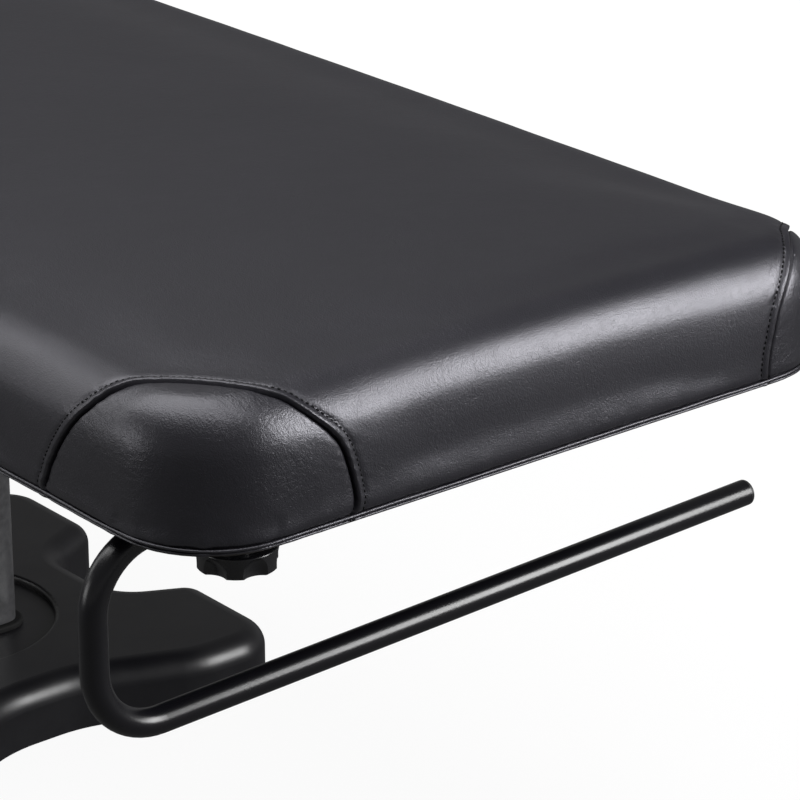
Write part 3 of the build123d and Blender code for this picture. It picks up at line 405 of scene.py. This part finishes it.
def crown_grid(bm, rim, inset, segments):
    """Fills the rim with a crowned grid of quads, whose corner blocks fan out to the round corners."""
    side, end, corner = segments
    half = corner // 2
    count = len(rim)
    hx, hy, radius = inner_size(inset)
    columns, lines = end + corner, side + corner
    right, back = 0, side + corner
    left, front = side + end + 2 * corner, 2 * side + end + 3 * corner
    grid = {}
    for j in range(lines + 1):
        grid[(columns, j)] = rim[(right + j - half) % count]
        grid[(0, j)] = rim[(left + lines - j - half) % count]
    for i in range(columns + 1):
        grid[(i, lines)] = rim[(back + columns - i - half) % count]
        grid[(i, 0)] = rim[(front + i - half) % count]

    def spread(index, total, straight_half):
        """Place along one direction, the share of the corner block it lies in, and on which side."""
        low = index - half
        high = index - (total - half)
        if low < 0:
            return -straight_half, -low / half, -1
        if high > 0:
            return straight_half, high / half, 1
        return -straight_half + 2 * straight_half * low / (total - 2 * half), 0.0, 0

    for i in range(1, columns):
        for j in range(1, lines):
            x, u, sx = spread(i, columns, hx - radius)
            y, v, sy = spread(j, lines, hy - radius)
            if u and v:
                reach, turn = (u, math.pi / 4 * v / u) if u >= v else (v, math.pi / 2 - math.pi / 4 * u / v)
                x += sx * radius * reach * math.cos(turn)
                y += sy * radius * reach * math.sin(turn)
            else:
                x += sx * radius * u
                y += sy * radius * v
            grid[(i, j)] = bm.verts.new((x, y, crown_height(x, y)))
    for i in range(columns):
        for j in range(lines):
            bm.faces.new((grid[(i, j)], grid[(i + 1, j)], grid[(i + 1, j + 1)], grid[(i, j + 1)]))


def cushion_skin():
    """Quad mesh of the padded top: the wrapped underside, the bulged sides, the round nose and the crown."""
    segments = (115, 36, 10)  # along a side, along an end, round a corner
    nose_steps = 9
    nose_inset = side_draw(NOSE_START)
    nose_depth = NOSE - NOSE_TRIM
    rows = [[(x, y, z) for x, y in outline(inset, segments)] for inset, z in EDGE_SECTION]
    rows += [[(x, y, z) for x, y in outline(side_draw(z), segments)] for z in SIDE_HEIGHTS]
    for step in range(1, nose_steps + 1):
        turn = math.radians(90 * step / nose_steps)
        ring = outline(nose_inset + nose_depth * (1 - math.cos(turn)), segments)
        rows.append([(x, y, crown_height(x, y) - NOSE_RISE * (1 - math.sin(turn))) for x, y in ring])
    bm = bmesh.new()
    loops = [[bm.verts.new(point) for point in row] for row in rows]
    for lower, upper in zip(loops, loops[1:]):
        join_rings(bm, lower, upper)
    crown_grid(bm, loops[-1], nose_inset + nose_depth, segments)
    bmesh.ops.recalc_face_normals(bm, faces=bm.faces)
    return new_object("cushion_main", bm, vinyl)


def seam_bow(along, height, size):
    """How far the seam bows towards the corner: by height on the two faces, and by its length on the top."""
    face_blend = 0.05  # length over which the side's bow gives way to the end's
    top_start, top_blend = 0.7085, 0.0065
    side = np.interp(height, *zip(*SIDE_BOW))
    end = np.interp(height, *zip(*END_BOW))
    top = np.interp(along / size, *zip(*TOP_BOW))
    face = side + (end - side) * ease(np.clip(along / size / face_blend + 0.5, 0.0, 1.0))
    return size * (face + (top - face) * ease(np.clip((height - top_start) / top_blend, 0.0, 1.0)))


def seam_frame(points):
    """Place of each point along and across the nearest corner's seam, and that corner's size."""
    size = np.where(points[:, 0] > 0, NARROW_SHARE, 1.0)
    x = HALF_WIDTH - SEAM_RUN[0] * size - np.abs(points[:, 0])
    y = HALF_LENGTH - SEAM_RUN[1] * size - np.abs(points[:, 1])
    return x * SEAM_WAY[1] - y * SEAM_WAY[0], -x * SEAM_WAY[0] - y * SEAM_WAY[1], size


def seam_bows(points):
    """How far each point's part of the seam bows towards the nearest corner."""
    along, _, size = seam_frame(points)
    return seam_bow(along, points[:, 2], size)


def seam_distances(points):
    """Signed level distance from the nearest corner's seam, more than nought inside the patch."""
    along, across, size = seam_frame(points)
    return across - seam_bow(along, points[:, 2], size)


def surface_distances(points, normals):
    """Signed distance from the seam measured along the skin."""
    step, least_slope = 0.001, 0.35
    here = seam_distances(points)
    slopes = np.stack([(seam_distances(points + way * step) - here) / step for way in np.eye(3)], axis=1)
    slopes -= normals * np.sum(slopes * normals, axis=1, keepdims=True)
    return here / np.maximum(np.linalg.norm(slopes, axis=1), least_slope)


def seam_plane(side, end):
    """Level direction across a corner's straight seam line, and the point that the line starts from."""
    size = NARROW_SHARE if side > 0 else 1.0
    across = Vector((side * SEAM_WAY[0], end * SEAM_WAY[1], 0))
    start = Vector((side * (HALF_WIDTH - SEAM_RUN[0] * size), end * (HALF_LENGTH - SEAM_RUN[1] * size), 0))
    return across, start


def corner_reach(point):
    """How far a point lies beyond the straight part of the outline, across and along the top."""
    return (max(abs(point.x) - (HALF_WIDTH - CORNER_RADIUS), 0.0),
            max(abs(point.y) - (HALF_LENGTH - CORNER_RADIUS), 0.0))


def outward(point):
    """Direction out of the plain padded form at a point on it."""
    nose_foot = CROWN_TOP - 0.008 - NOSE_RISE
    x, y = corner_reach(point)
    level = Vector((math.copysign(x, point.x), math.copysign(y, point.y), 0.0))
    depth = CORNER_RADIUS - level.length
    lean = max(NOSE - depth, 0.0) / NOSE
    rise = max(point.z - nose_foot, 0.0) / NOSE_RISE
    return (level.normalized() * lean + Vector((0, 0, min(rise, 1.0) + 0.001))).normalized()


def settle(piece):
    """Draws the skin in a little, before it is inflated."""
    for vertex in piece.data.vertices:
        co = vertex.co
        if co.z > SKIN_FOOT:
            draw = smoothstep(SKIN_FOOT, 0.626, co.z) * SHRINK
            x, y = corner_reach(co)
            away = Vector((math.copysign(x, co.x), math.copysign(y, co.y), 0))
            if away.length > 0:
                vertex.co -= away.normalized() * draw
            vertex.co.z -= draw * 0.5 * smoothstep(0.67, 0.71, co.z)


def read_vectors(items, attribute):
    """The named vector of every item of a mesh, as rows."""
    values = np.zeros(len(items) * 3)
    items.foreach_get(attribute, values)
    return values.reshape(-1, 3)


def inflate(piece):
    """Cloth pressure on the skin, held at the wrapped edge, with each point's move smoothed and capped."""
    held_below = 0.6015
    last_frame = 20
    fill_out, push_back = 0.0014, 0.55  # each point goes out a little, and what sank in comes back by a share
    smoothing_rounds = 10
    cap = 0.004
    seam_share, seam_start, seam_reach = 0.25, 0.004, 0.066  # the sewn seams hold the skin back
    mesh = piece.data
    rest = read_vectors(mesh.vertices, "co")
    held = piece.vertex_groups.new(name="held")
    for vertex in mesh.vertices:
        if vertex.co.z < held_below:
            held.add([vertex.index], 1.0, "REPLACE")
    cloth = piece.modifiers.new("cloth", "CLOTH")
    settings = cloth.settings
    settings.quality = 5
    settings.mass = 0.4
    settings.tension_stiffness = 60
    settings.compression_stiffness = 60
    settings.shear_stiffness = 20
    settings.bending_stiffness = 2.0
    settings.use_pressure = True
    settings.uniform_pressure_force = 4.0
    settings.effector_weights.gravity = 0.0
    settings.vertex_group_mass = "held"
    cloth.point_cache.frame_start = 1
    cloth.point_cache.frame_end = last_frame
    scene = bpy.context.scene
    for number in range(1, last_frame + 1):
        scene.frame_set(number)
    evaluated = piece.evaluated_get(bpy.context.evaluated_depsgraph_get())
    moved = read_vectors(evaluated.data.vertices, "co")
    piece.modifiers.remove(cloth)
    scene.frame_set(1)

    normals = read_vectors(mesh.vertices, "normal")
    shift = moved - rest
    inward = np.minimum(np.sum(shift * normals, axis=1), 0.0)
    shift += normals * (fill_out - push_back * inward)[:, None] * (rest[:, 2:] > SKIN_FOOT)
    ends = np.zeros(len(mesh.edges) * 2, dtype=np.int32)
    mesh.edges.foreach_get("vertices", ends)
    a, b = ends.reshape(-1, 2).T
    neighbours = np.bincount(ends, minlength=len(mesh.vertices))[:, None]
    for _ in range(smoothing_rounds):
        total = np.zeros_like(shift)
        np.add.at(total, a, shift[b])
        np.add.at(total, b, shift[a])
        shift = 0.5 * shift + 0.5 * total / neighbours
    length = np.linalg.norm(shift, axis=1)
    share = np.where(length > cap, cap / np.maximum(length, 1e-9), 1.0)
    away = ease(np.clip((np.abs(seam_distances(rest)) - seam_start) / seam_reach, 0.0, 1.0))
    share *= seam_share + (1 - seam_share) * away
    mesh.vertices.foreach_set("co", (rest + shift * share[:, None]).ravel())
    mesh.update()


def subdivide(piece, levels):
    """Gives the piece its subdivided mesh in place of its own."""
    modifier = piece.modifiers.new("subdivision", "SUBSURF")
    modifier.levels = modifier.render_levels = levels
    evaluated = piece.evaluated_get(bpy.context.evaluated_depsgraph_get())
    mesh = bpy.data.meshes.new_from_object(evaluated)
    piece.modifiers.remove(modifier)
    piece.data = mesh


def cut_seam_lines(bm):
    """Cuts edges into the skin beside each seam.

    The corner is bent until its seam is straight, cut there by planes and bent back.
    """
    zone_x, zone_y = CORNER_ZONE
    cut_x, cut_y, cut_reach = 0.1, 0.7, 0.045  # only faces beyond these and near the seam are cut
    for side, end in CORNERS:
        across, start = seam_plane(side, end)
        verts = [vertex for vertex in bm.verts if side * vertex.co.x > zone_x and end * vertex.co.y > zone_y]
        before = [vertex.co.copy() for vertex in verts]
        for vertex, bow in zip(verts, seam_bows(np.array(before))):
            vertex.co -= across * bow
        known_verts = set(bm.verts)
        near = []
        for face in bm.faces:
            middle = face.calc_center_median()
            beside = abs((middle - start).dot(across))
            if side * middle.x > cut_x and end * middle.y > cut_y and beside < cut_reach:
                near.append(face)
        for line in SEAM_LINES:
            level = line + start.dot(across)
            crossed = []
            for face in near:
                places = [vertex.co.dot(across) for vertex in face.verts]
                if min(places) < level < max(places):
                    crossed.append(face)
            geometry = set(crossed)
            for face in crossed:
                geometry.update(face.edges)
                geometry.update(face.verts)
            cut = bmesh.ops.bisect_plane(bm, geom=list(geometry), dist=1e-6, plane_co=start + across * line,
                                         plane_no=across)
            near = [face for face in near if face.is_valid]
            known = set(near)
            near.extend(part for part in cut["geom"]
                        if isinstance(part, bmesh.types.BMFace) and part not in known)
        for vertex, place in zip(verts, before):
            vertex.co = place
        new_verts = [vertex for vertex in bm.verts if vertex not in known_verts]
        for vertex, bow in zip(new_verts, seam_bows(np.array([vertex.co for vertex in new_verts]))):
            vertex.co += across * bow


def pucker(run, distance):
    """Small waves of the gathered vinyl: broad ones at the seam and short ones along the topstitching."""
    waves = noise.noise(Vector((run * 95, 3.1, 0))) * math.exp(-abs(distance) / 0.012) * 0.0009
    off_stitches = abs(distance + STITCH_OFFSET)
    return waves + noise.noise(Vector((run * 210, 7.7, 0))) * math.exp(-off_stitches / 0.004) * 0.0005


def sew(piece):
    """Cuts lines beside each seam, then sinks the seam, lifts the felled edge and puckers both.

    Gives the cut skin, and its points, faces and faces' middles as they were before the seam sank.
    """
    seam_reach = 0.06
    under_below = 0.5885
    bm = bmesh.new()
    bm.from_mesh(piece.data)
    cut_seam_lines(bm)
    bm.normal_update()
    bm.verts.index_update()

    verts = list(bm.verts)
    points = np.array([vertex.co for vertex in verts])
    faces = [[vertex.index for vertex in face.verts] for face in bm.faces]
    middles = np.array([face.calc_center_median() for face in bm.faces])
    normals = np.array([vertex.normal for vertex in verts])
    level = seam_distances(points)
    close = np.nonzero((np.abs(level) < seam_reach) & (points[:, 2] > WRAP_HEIGHT))[0]
    distances = surface_distances(points[close], normals[close])
    main = np.interp(-distances, *zip(*MAIN_PROFILE))
    patch = np.interp(distances, *zip(*PATCH_PROFILE))
    along = seam_frame(points[close])[0]
    lifts = np.where(distances > 0, patch, main)
    for index, distance, lift, run in zip(close, distances, lifts, along):
        vertex = verts[index]
        z = vertex.co.z
        fade = 0.35 + 0.65 * smoothstep(0.595, 0.607, z) if z >= under_below else 0.15
        vertex.co += vertex.normal * ((lift + pucker(run + z * 1.3, distance)) * fade)
    for index in np.nonzero((level >= seam_reach) & (points[:, 2] > 0.605))[0]:
        vertex = verts[index]
        vertex.co += vertex.normal * PATCH_PROFILE[-1][1] * smoothstep(0.605, 0.625, points[index][2])
    return bm, points, faces, middles


def ripple(bm):
    """Low waves over the whole skin, and gathered folds where it is pulled round the bottom edge."""
    wave_foot, fold_head = 0.600, 0.624
    bm.normal_update()
    for vertex in bm.verts:
        co = vertex.co
        if co.z > wave_foot:
            wave = noise.noise(co * 9) * 0.0004 + noise.noise(co * 24 + Vector((5, 2, 1))) * 0.00012
            vertex.co += vertex.normal * wave * smoothstep(wave_foot, 0.621, co.z)
        if WRAP_HEIGHT < co.z < fold_head:
            bend = smoothstep(0.0, 0.06, min(corner_reach(co)))
            along = co.x * 1.7 - co.y * 1.3
            fold = noise.noise(Vector((along * 38, co.z * 22, 9))) * (0.0005 + 0.0010 * bend)
            vertex.co += vertex.normal * fold * (1 - smoothstep(SKIN_FOOT, fold_head, co.z))


def separate(bm, name, keep, material):
    """The part of the skin whose faces are kept, with its seam edge tucked in."""
    seam_foot = 0.609
    part = bm.copy()
    part.faces.index_update()
    seam = [
        edge for edge in part.edges
        if len(edge.link_faces) == 2 and keep[edge.link_faces[0].index] != keep[edge.link_faces[1].index]
        and edge.verts[0].co.z > seam_foot
    ]
    gone = [face for face, kept in zip(part.faces, keep) if not kept]
    bmesh.ops.delete(part, geom=gone, context="FACES")
    for piece in bmesh.ops.extrude_edge_only(part, edges=seam)["geom"]:
        if isinstance(piece, bmesh.types.BMVert):
            piece.co -= outward(piece.co) * SEAM_TUCK
    return new_object(name, part, material)


cushion = cushion_skin()
settle(cushion)
inflate(cushion)
subdivide(cushion, 2)
skin, plain_points, skin_faces, middles = sew(cushion)
ripple(skin)
skin_points = np.array([vertex.co for vertex in skin.verts])
inside = seam_distances(middles)
old_mesh = cushion.data
bpy.data.objects.remove(cushion)
bpy.data.meshes.remove(old_mesh)
cushion = separate(skin, "cushion_main", inside <= 0, vinyl)
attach(cushion, "top")
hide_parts("cushion_cover", "foam_core")
for index, (side, end) in enumerate(CORNERS):
    kept = (inside > 0) & (middles[:, 0] * side > 0) & (middles[:, 1] * end > 0)
    patch = separate(skin, f"corner_patch_{index + 1}", kept, vinyl_patch)
    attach(patch, "top")
    if index == 0:
        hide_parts("corner_patches")


def corner_tree(points, side, end):
    """Search tree over one corner of the skin."""
    near = (points[:, 0] * side > CORNER_ZONE[0]) & (points[:, 1] * end > CORNER_ZONE[1])
    faces = [face for face in skin_faces if near[face[0]] and near[face[-1]]]
    return BVHTree.FromPolygons(points.tolist(), faces)


def seam_course(side, end, offset):
    """Points, evenly spaced, on the skin beside the seam, each with the plain form's normal there.

    Rays find the seam on the plain skin bent straight, and then the skin beside it.
    """
    rays, first_angle, sweep = 720, -4, 188
    outside, off_edge = 0.5, 0.0002  # the rays start well off the skin, and not quite along its cut edges
    seam_foot, stitch_foot = 0.5955, 0.5985
    across, start = seam_plane(side, end)
    up = Vector((0, 0, 1))
    run = up.cross(across)
    middle = start + up * 0.60
    bent = np.array([[side * SEAM_WAY[0], end * SEAM_WAY[1], 0.0]]) * seam_bows(plain_points)[:, None]
    straight = corner_tree(plain_points - bent, side, end)
    skin_tree = corner_tree(skin_points, side, end)
    chain = []
    for step in range(rays + 1):
        turn = math.radians(first_angle + sweep * step / rays)
        way = run * math.cos(turn) + up * math.sin(turn)
        hit = straight.ray_cast(middle + across * off_edge + way * outside, -way)[0]
        if hit is not None and hit.z > seam_foot:
            chain.append(hit + across * float(seam_bows(np.array([hit]))[0]))
    smooth = [(a + 2 * b + c) / 4 for a, b, c in zip(chain, chain[1:], chain[2:])]
    points = []
    for before, place, after in zip(smooth, smooth[2:], smooth[4:]):
        out = (after - before).cross(outward(place)).normalized()
        if out.dot(across) > 0:
            out = -out
        far = place + out * offset
        normal = outward(far)
        beside = skin_tree.ray_cast(far + normal * 0.02, -normal)[0]
        if beside is not None and beside.z > stitch_foot:
            points.append((beside, normal))
    return points


def resample(points, pitch):
    """Even steps along a chain of points with normals: place, normal and direction at each."""
    travelled, out, target = 0.0, [], 0.0
    for (a, na), (b, nb) in zip(points, points[1:]):
        length = (b - a).length
        while length > 0 and travelled + length >= target:
            t = (target - travelled) / length
            out.append((a.lerp(b, t), na.lerp(nb, t).normalized(), (b - a).normalized()))
            target += pitch
        travelled += length
    return out


def stitch_rows():
    """Thread of the topstitching: short rounded stitches, each dipping into the vinyl at its ends."""
    sides, rings = 8, 9
    half_thick = 0.00072
    arch, sink = 0.00065, 0.0005
    bm = bmesh.new()
    for side, end in CORNERS:
        course = resample(seam_course(side, end, STITCH_OFFSET), STITCH_PITCH)
        for number, (place, up, along) in enumerate(course):
            across = along.cross(up).normalized()
            length = STITCH_PITCH * (0.64 + 0.05 * noise.noise(Vector((number * 1.7, side, end))))
            loops = []
            for ring in range(rings):
                t = ring / (rings - 1) * 2 - 1
                width = half_thick * math.sqrt(max(1 - abs(t) ** 5, 0.05))
                centre = place + along * t * length / 2 + up * (arch * (1 - t * t * t * t) - sink)
                loop = []
                for k in range(sides):
                    turn = 2 * math.pi * k / sides
                    twist = 1 + 0.10 * math.sin(turn * 2 + t * 9)
                    way = across * math.cos(turn) + up * math.sin(turn)
                    loop.append(bm.verts.new(centre + way * width * twist))
                loops.append(loop)
            for lower, upper in zip(loops, loops[1:]):
                join_rings(bm, lower, upper)
            bm.faces.new(loops[0][::-1])
            bm.faces.new(loops[-1])
    bmesh.ops.recalc_face_normals(bm, faces=bm.faces)
    return new_object("corner_stitches", bm, thread)


stitches = stitch_rows()
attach(stitches, "top")


def hem():
    """Rolled hem that runs round the bottom of the upholstery, a little uneven in place and in thickness."""
    sides = 12
    ring = outline(BEAD_INSET, (420, 130, 36))
    up = Vector((0, 0, 1))
    bm = bmesh.new()
    loops = []
    for i, (x, y) in enumerate(ring):
        ahead, behind = ring[(i + 1) % len(ring)], ring[i - 1]
        along = Vector((ahead[0] - behind[0], ahead[1] - behind[1], 0)).normalized()
        away = Vector((along.y, -along.x, 0))
        base = Vector((x, y, BEAD_HEIGHT))
        place = base + up * noise.noise(base * 16) * 0.0010
        place += away * noise.noise(base * 21 + Vector((4, 4, 4))) * 0.0005
        radius = BEAD_RADIUS * (1 + 0.10 * noise.noise(base * 60))
        loop = []
        for k in range(sides):
            turn = 2 * math.pi * k / sides
            loop.append(bm.verts.new(place + (away * math.cos(turn) + up * math.sin(turn)) * radius))
        loops.append(loop)
    for lower, upper in zip(loops, loops[1:] + loops[:1]):
        join_rings(bm, lower, upper)
    bmesh.ops.recalc_face_normals(bm, faces=bm.faces)
    return new_object("hem_roll", bm, vinyl)


roll = hem()
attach(roll, "top")
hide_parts("hem_bead")


# Studio
def backdrop_share(tree, reflected):
    """How white the backdrop is, by kind of ray: fully for the camera, and by a share in reflections."""
    add, link = node_adder(tree), tree.links.new
    path = add("ShaderNodeLightPath")
    clear = add("ShaderNodeMath", operation="MAXIMUM")
    link(path.outputs["Is Camera Ray"], clear.inputs[0])
    link(path.outputs["Is Transmission Ray"], clear.inputs[1])
    mirrored = add("ShaderNodeMath", operation="MULTIPLY")
    mirrored.inputs[1].default_value = reflected
    link(path.outputs["Is Glossy Ray"], mirrored.inputs[0])
    share = add("ShaderNodeMath", operation="MAXIMUM")
    link(clear.outputs["Value"], share.inputs[0])
    link(mirrored.outputs["Value"], share.inputs[1])
    return share.outputs["Value"]


def make_floor():
    """Large pale floor, white to the camera, that keeps a trace of the object's shadow; its glow is dimmed
    near the object, a painted shade around it.
    """
    bm = bmesh.new()
    bmesh.ops.create_grid(bm, x_segments=8, y_segments=8, size=14)
    material, tree, shader, add = new_material("floor_looks")
    link = tree.links.new
    shader.inputs["Base Color"].default_value = (0.07, 0.07, 0.07, 1)
    shader.inputs["Roughness"].default_value = 0.9
    shader.inputs["Specular IOR Level"].default_value = 0.1
    glow = add("ShaderNodeEmission")
    place = add("ShaderNodeTexCoord")
    reach = add("ShaderNodeVectorMath", operation="LENGTH")
    link(place.outputs["Object"], reach.inputs[0])
    # painted shade: the floor's white glow is a little weaker near the object, so the floor is darker around
    # it
    fade = add("ShaderNodeMapRange", interpolation_type="SMOOTHSTEP", From_Min=0.9, From_Max=2.6, To_Min=0.93,
               To_Max=1.0)
    link(reach.outputs["Value"], fade.inputs["Value"])
    white = add("ShaderNodeMath", operation="MULTIPLY")
    link(backdrop_share(tree, 0.06), white.inputs[0])
    link(fade.outputs["Result"], white.inputs[1])
    link(white.outputs["Value"], glow.inputs["Strength"])
    total = add("ShaderNodeAddShader")
    link(shader.outputs["BSDF"], total.inputs[0])
    link(glow.outputs["Emission"], total.inputs[1])
    link(total.outputs["Shader"], tree.nodes["Material Output"].inputs["Surface"])
    floor = new_object("studio_floor", bm, material)


def make_world():
    """White to the camera, pale near the horizon and dim overhead for everything else."""
    world = bpy.data.worlds.new("studio")
    bpy.context.scene.world = world
    world.use_nodes = True
    tree = world.node_tree
    tree.nodes.clear()
    add, link = node_adder(tree), tree.links.new
    out = add("ShaderNodeOutputWorld")
    place = add("ShaderNodeTexCoord")
    split = add("ShaderNodeSeparateXYZ")
    link(place.outputs["Generated"], split.inputs["Vector"])
    rise = add("ShaderNodeMapRange", From_Min=0.0, From_Max=0.35, To_Min=0.26, To_Max=0.06)
    link(split.outputs["Z"], rise.inputs["Value"])
    ambient = add("ShaderNodeBackground")
    link(rise.outputs["Result"], ambient.inputs["Strength"])
    white = add("ShaderNodeBackground", Color=(1, 1, 1, 1))
    mix = add("ShaderNodeMixShader")
    link(backdrop_share(tree, 0.10), mix.inputs["Fac"])
    link(ambient.outputs["Background"], mix.inputs[1])
    link(white.outputs["Background"], mix.inputs[2])
    link(mix.outputs["Shader"], out.inputs["Surface"])


def softbox(name, way, distance, size, radiance, long_way=(0, 0, 1)):
    """Oblong lamp that faces the near corner of the top; radiance is how bright its face looks."""
    near_corner = Vector((-0.1, -0.9, 0.66))
    data = bpy.data.lights.new(name, "AREA")
    data.shape = "RECTANGLE"
    data.size, data.size_y = size
    data.energy = radiance * math.pi * size[0] * size[1]
    lamp = bpy.data.objects.new(name, data)
    bpy.context.scene.collection.objects.link(lamp)
    way = Vector(way).normalized()
    lamp.location = near_corner + way * distance
    across = Vector(long_way).cross(way).normalized()
    turn = Matrix((across, way.cross(across), way)).transposed()
    lamp.rotation_mode = "QUATERNION"
    lamp.rotation_quaternion = turn.to_quaternion()


def make_camera():
    """The photograph's view."""
    data = bpy.data.cameras.new("camera")
    data.lens = 154.83
    data.sensor_width = 36.0
    data.clip_start, data.clip_end = 0.1, 60.0
    camera = bpy.data.objects.new("camera", data)
    bpy.context.scene.collection.objects.link(camera)
    ahead = Vector((0.590335, 0.716726, -0.371159)).normalized()
    right = ahead.cross(Vector((0, 0, 1))).normalized()
    turn = Matrix((right, right.cross(ahead), -ahead)).transposed()
    camera.matrix_world = Matrix.Translation((-1.8235, -3.0324, 1.7311)) @ turn.to_4x4()
    bpy.context.scene.camera = camera


make_floor()
make_world()
make_camera()
softbox("key_right", (0.62, -0.67, 0.28), 3.2, (0.95, 1.8), 18.0, (0, 0.50, 0.87))
softbox("back_left", (-0.44, 0.78, 0.45), 3.2, (1.2, 2.2), 1.7)
softbox("overhead", (-0.16, 0.27, 0.89), 3.0, (3.2, 3.1), 3.1, (0, 1, 0))
softbox("front_high", (-0.08, -0.40, 0.84), 3.4, (2.0, 1.4), 3.5)
softbox("left_low", (-0.82, 0.46, 0.08), 3.2, (1.5, 0.8), 3.0)
bpy.context.scene.view_settings.view_transform = "Standard"
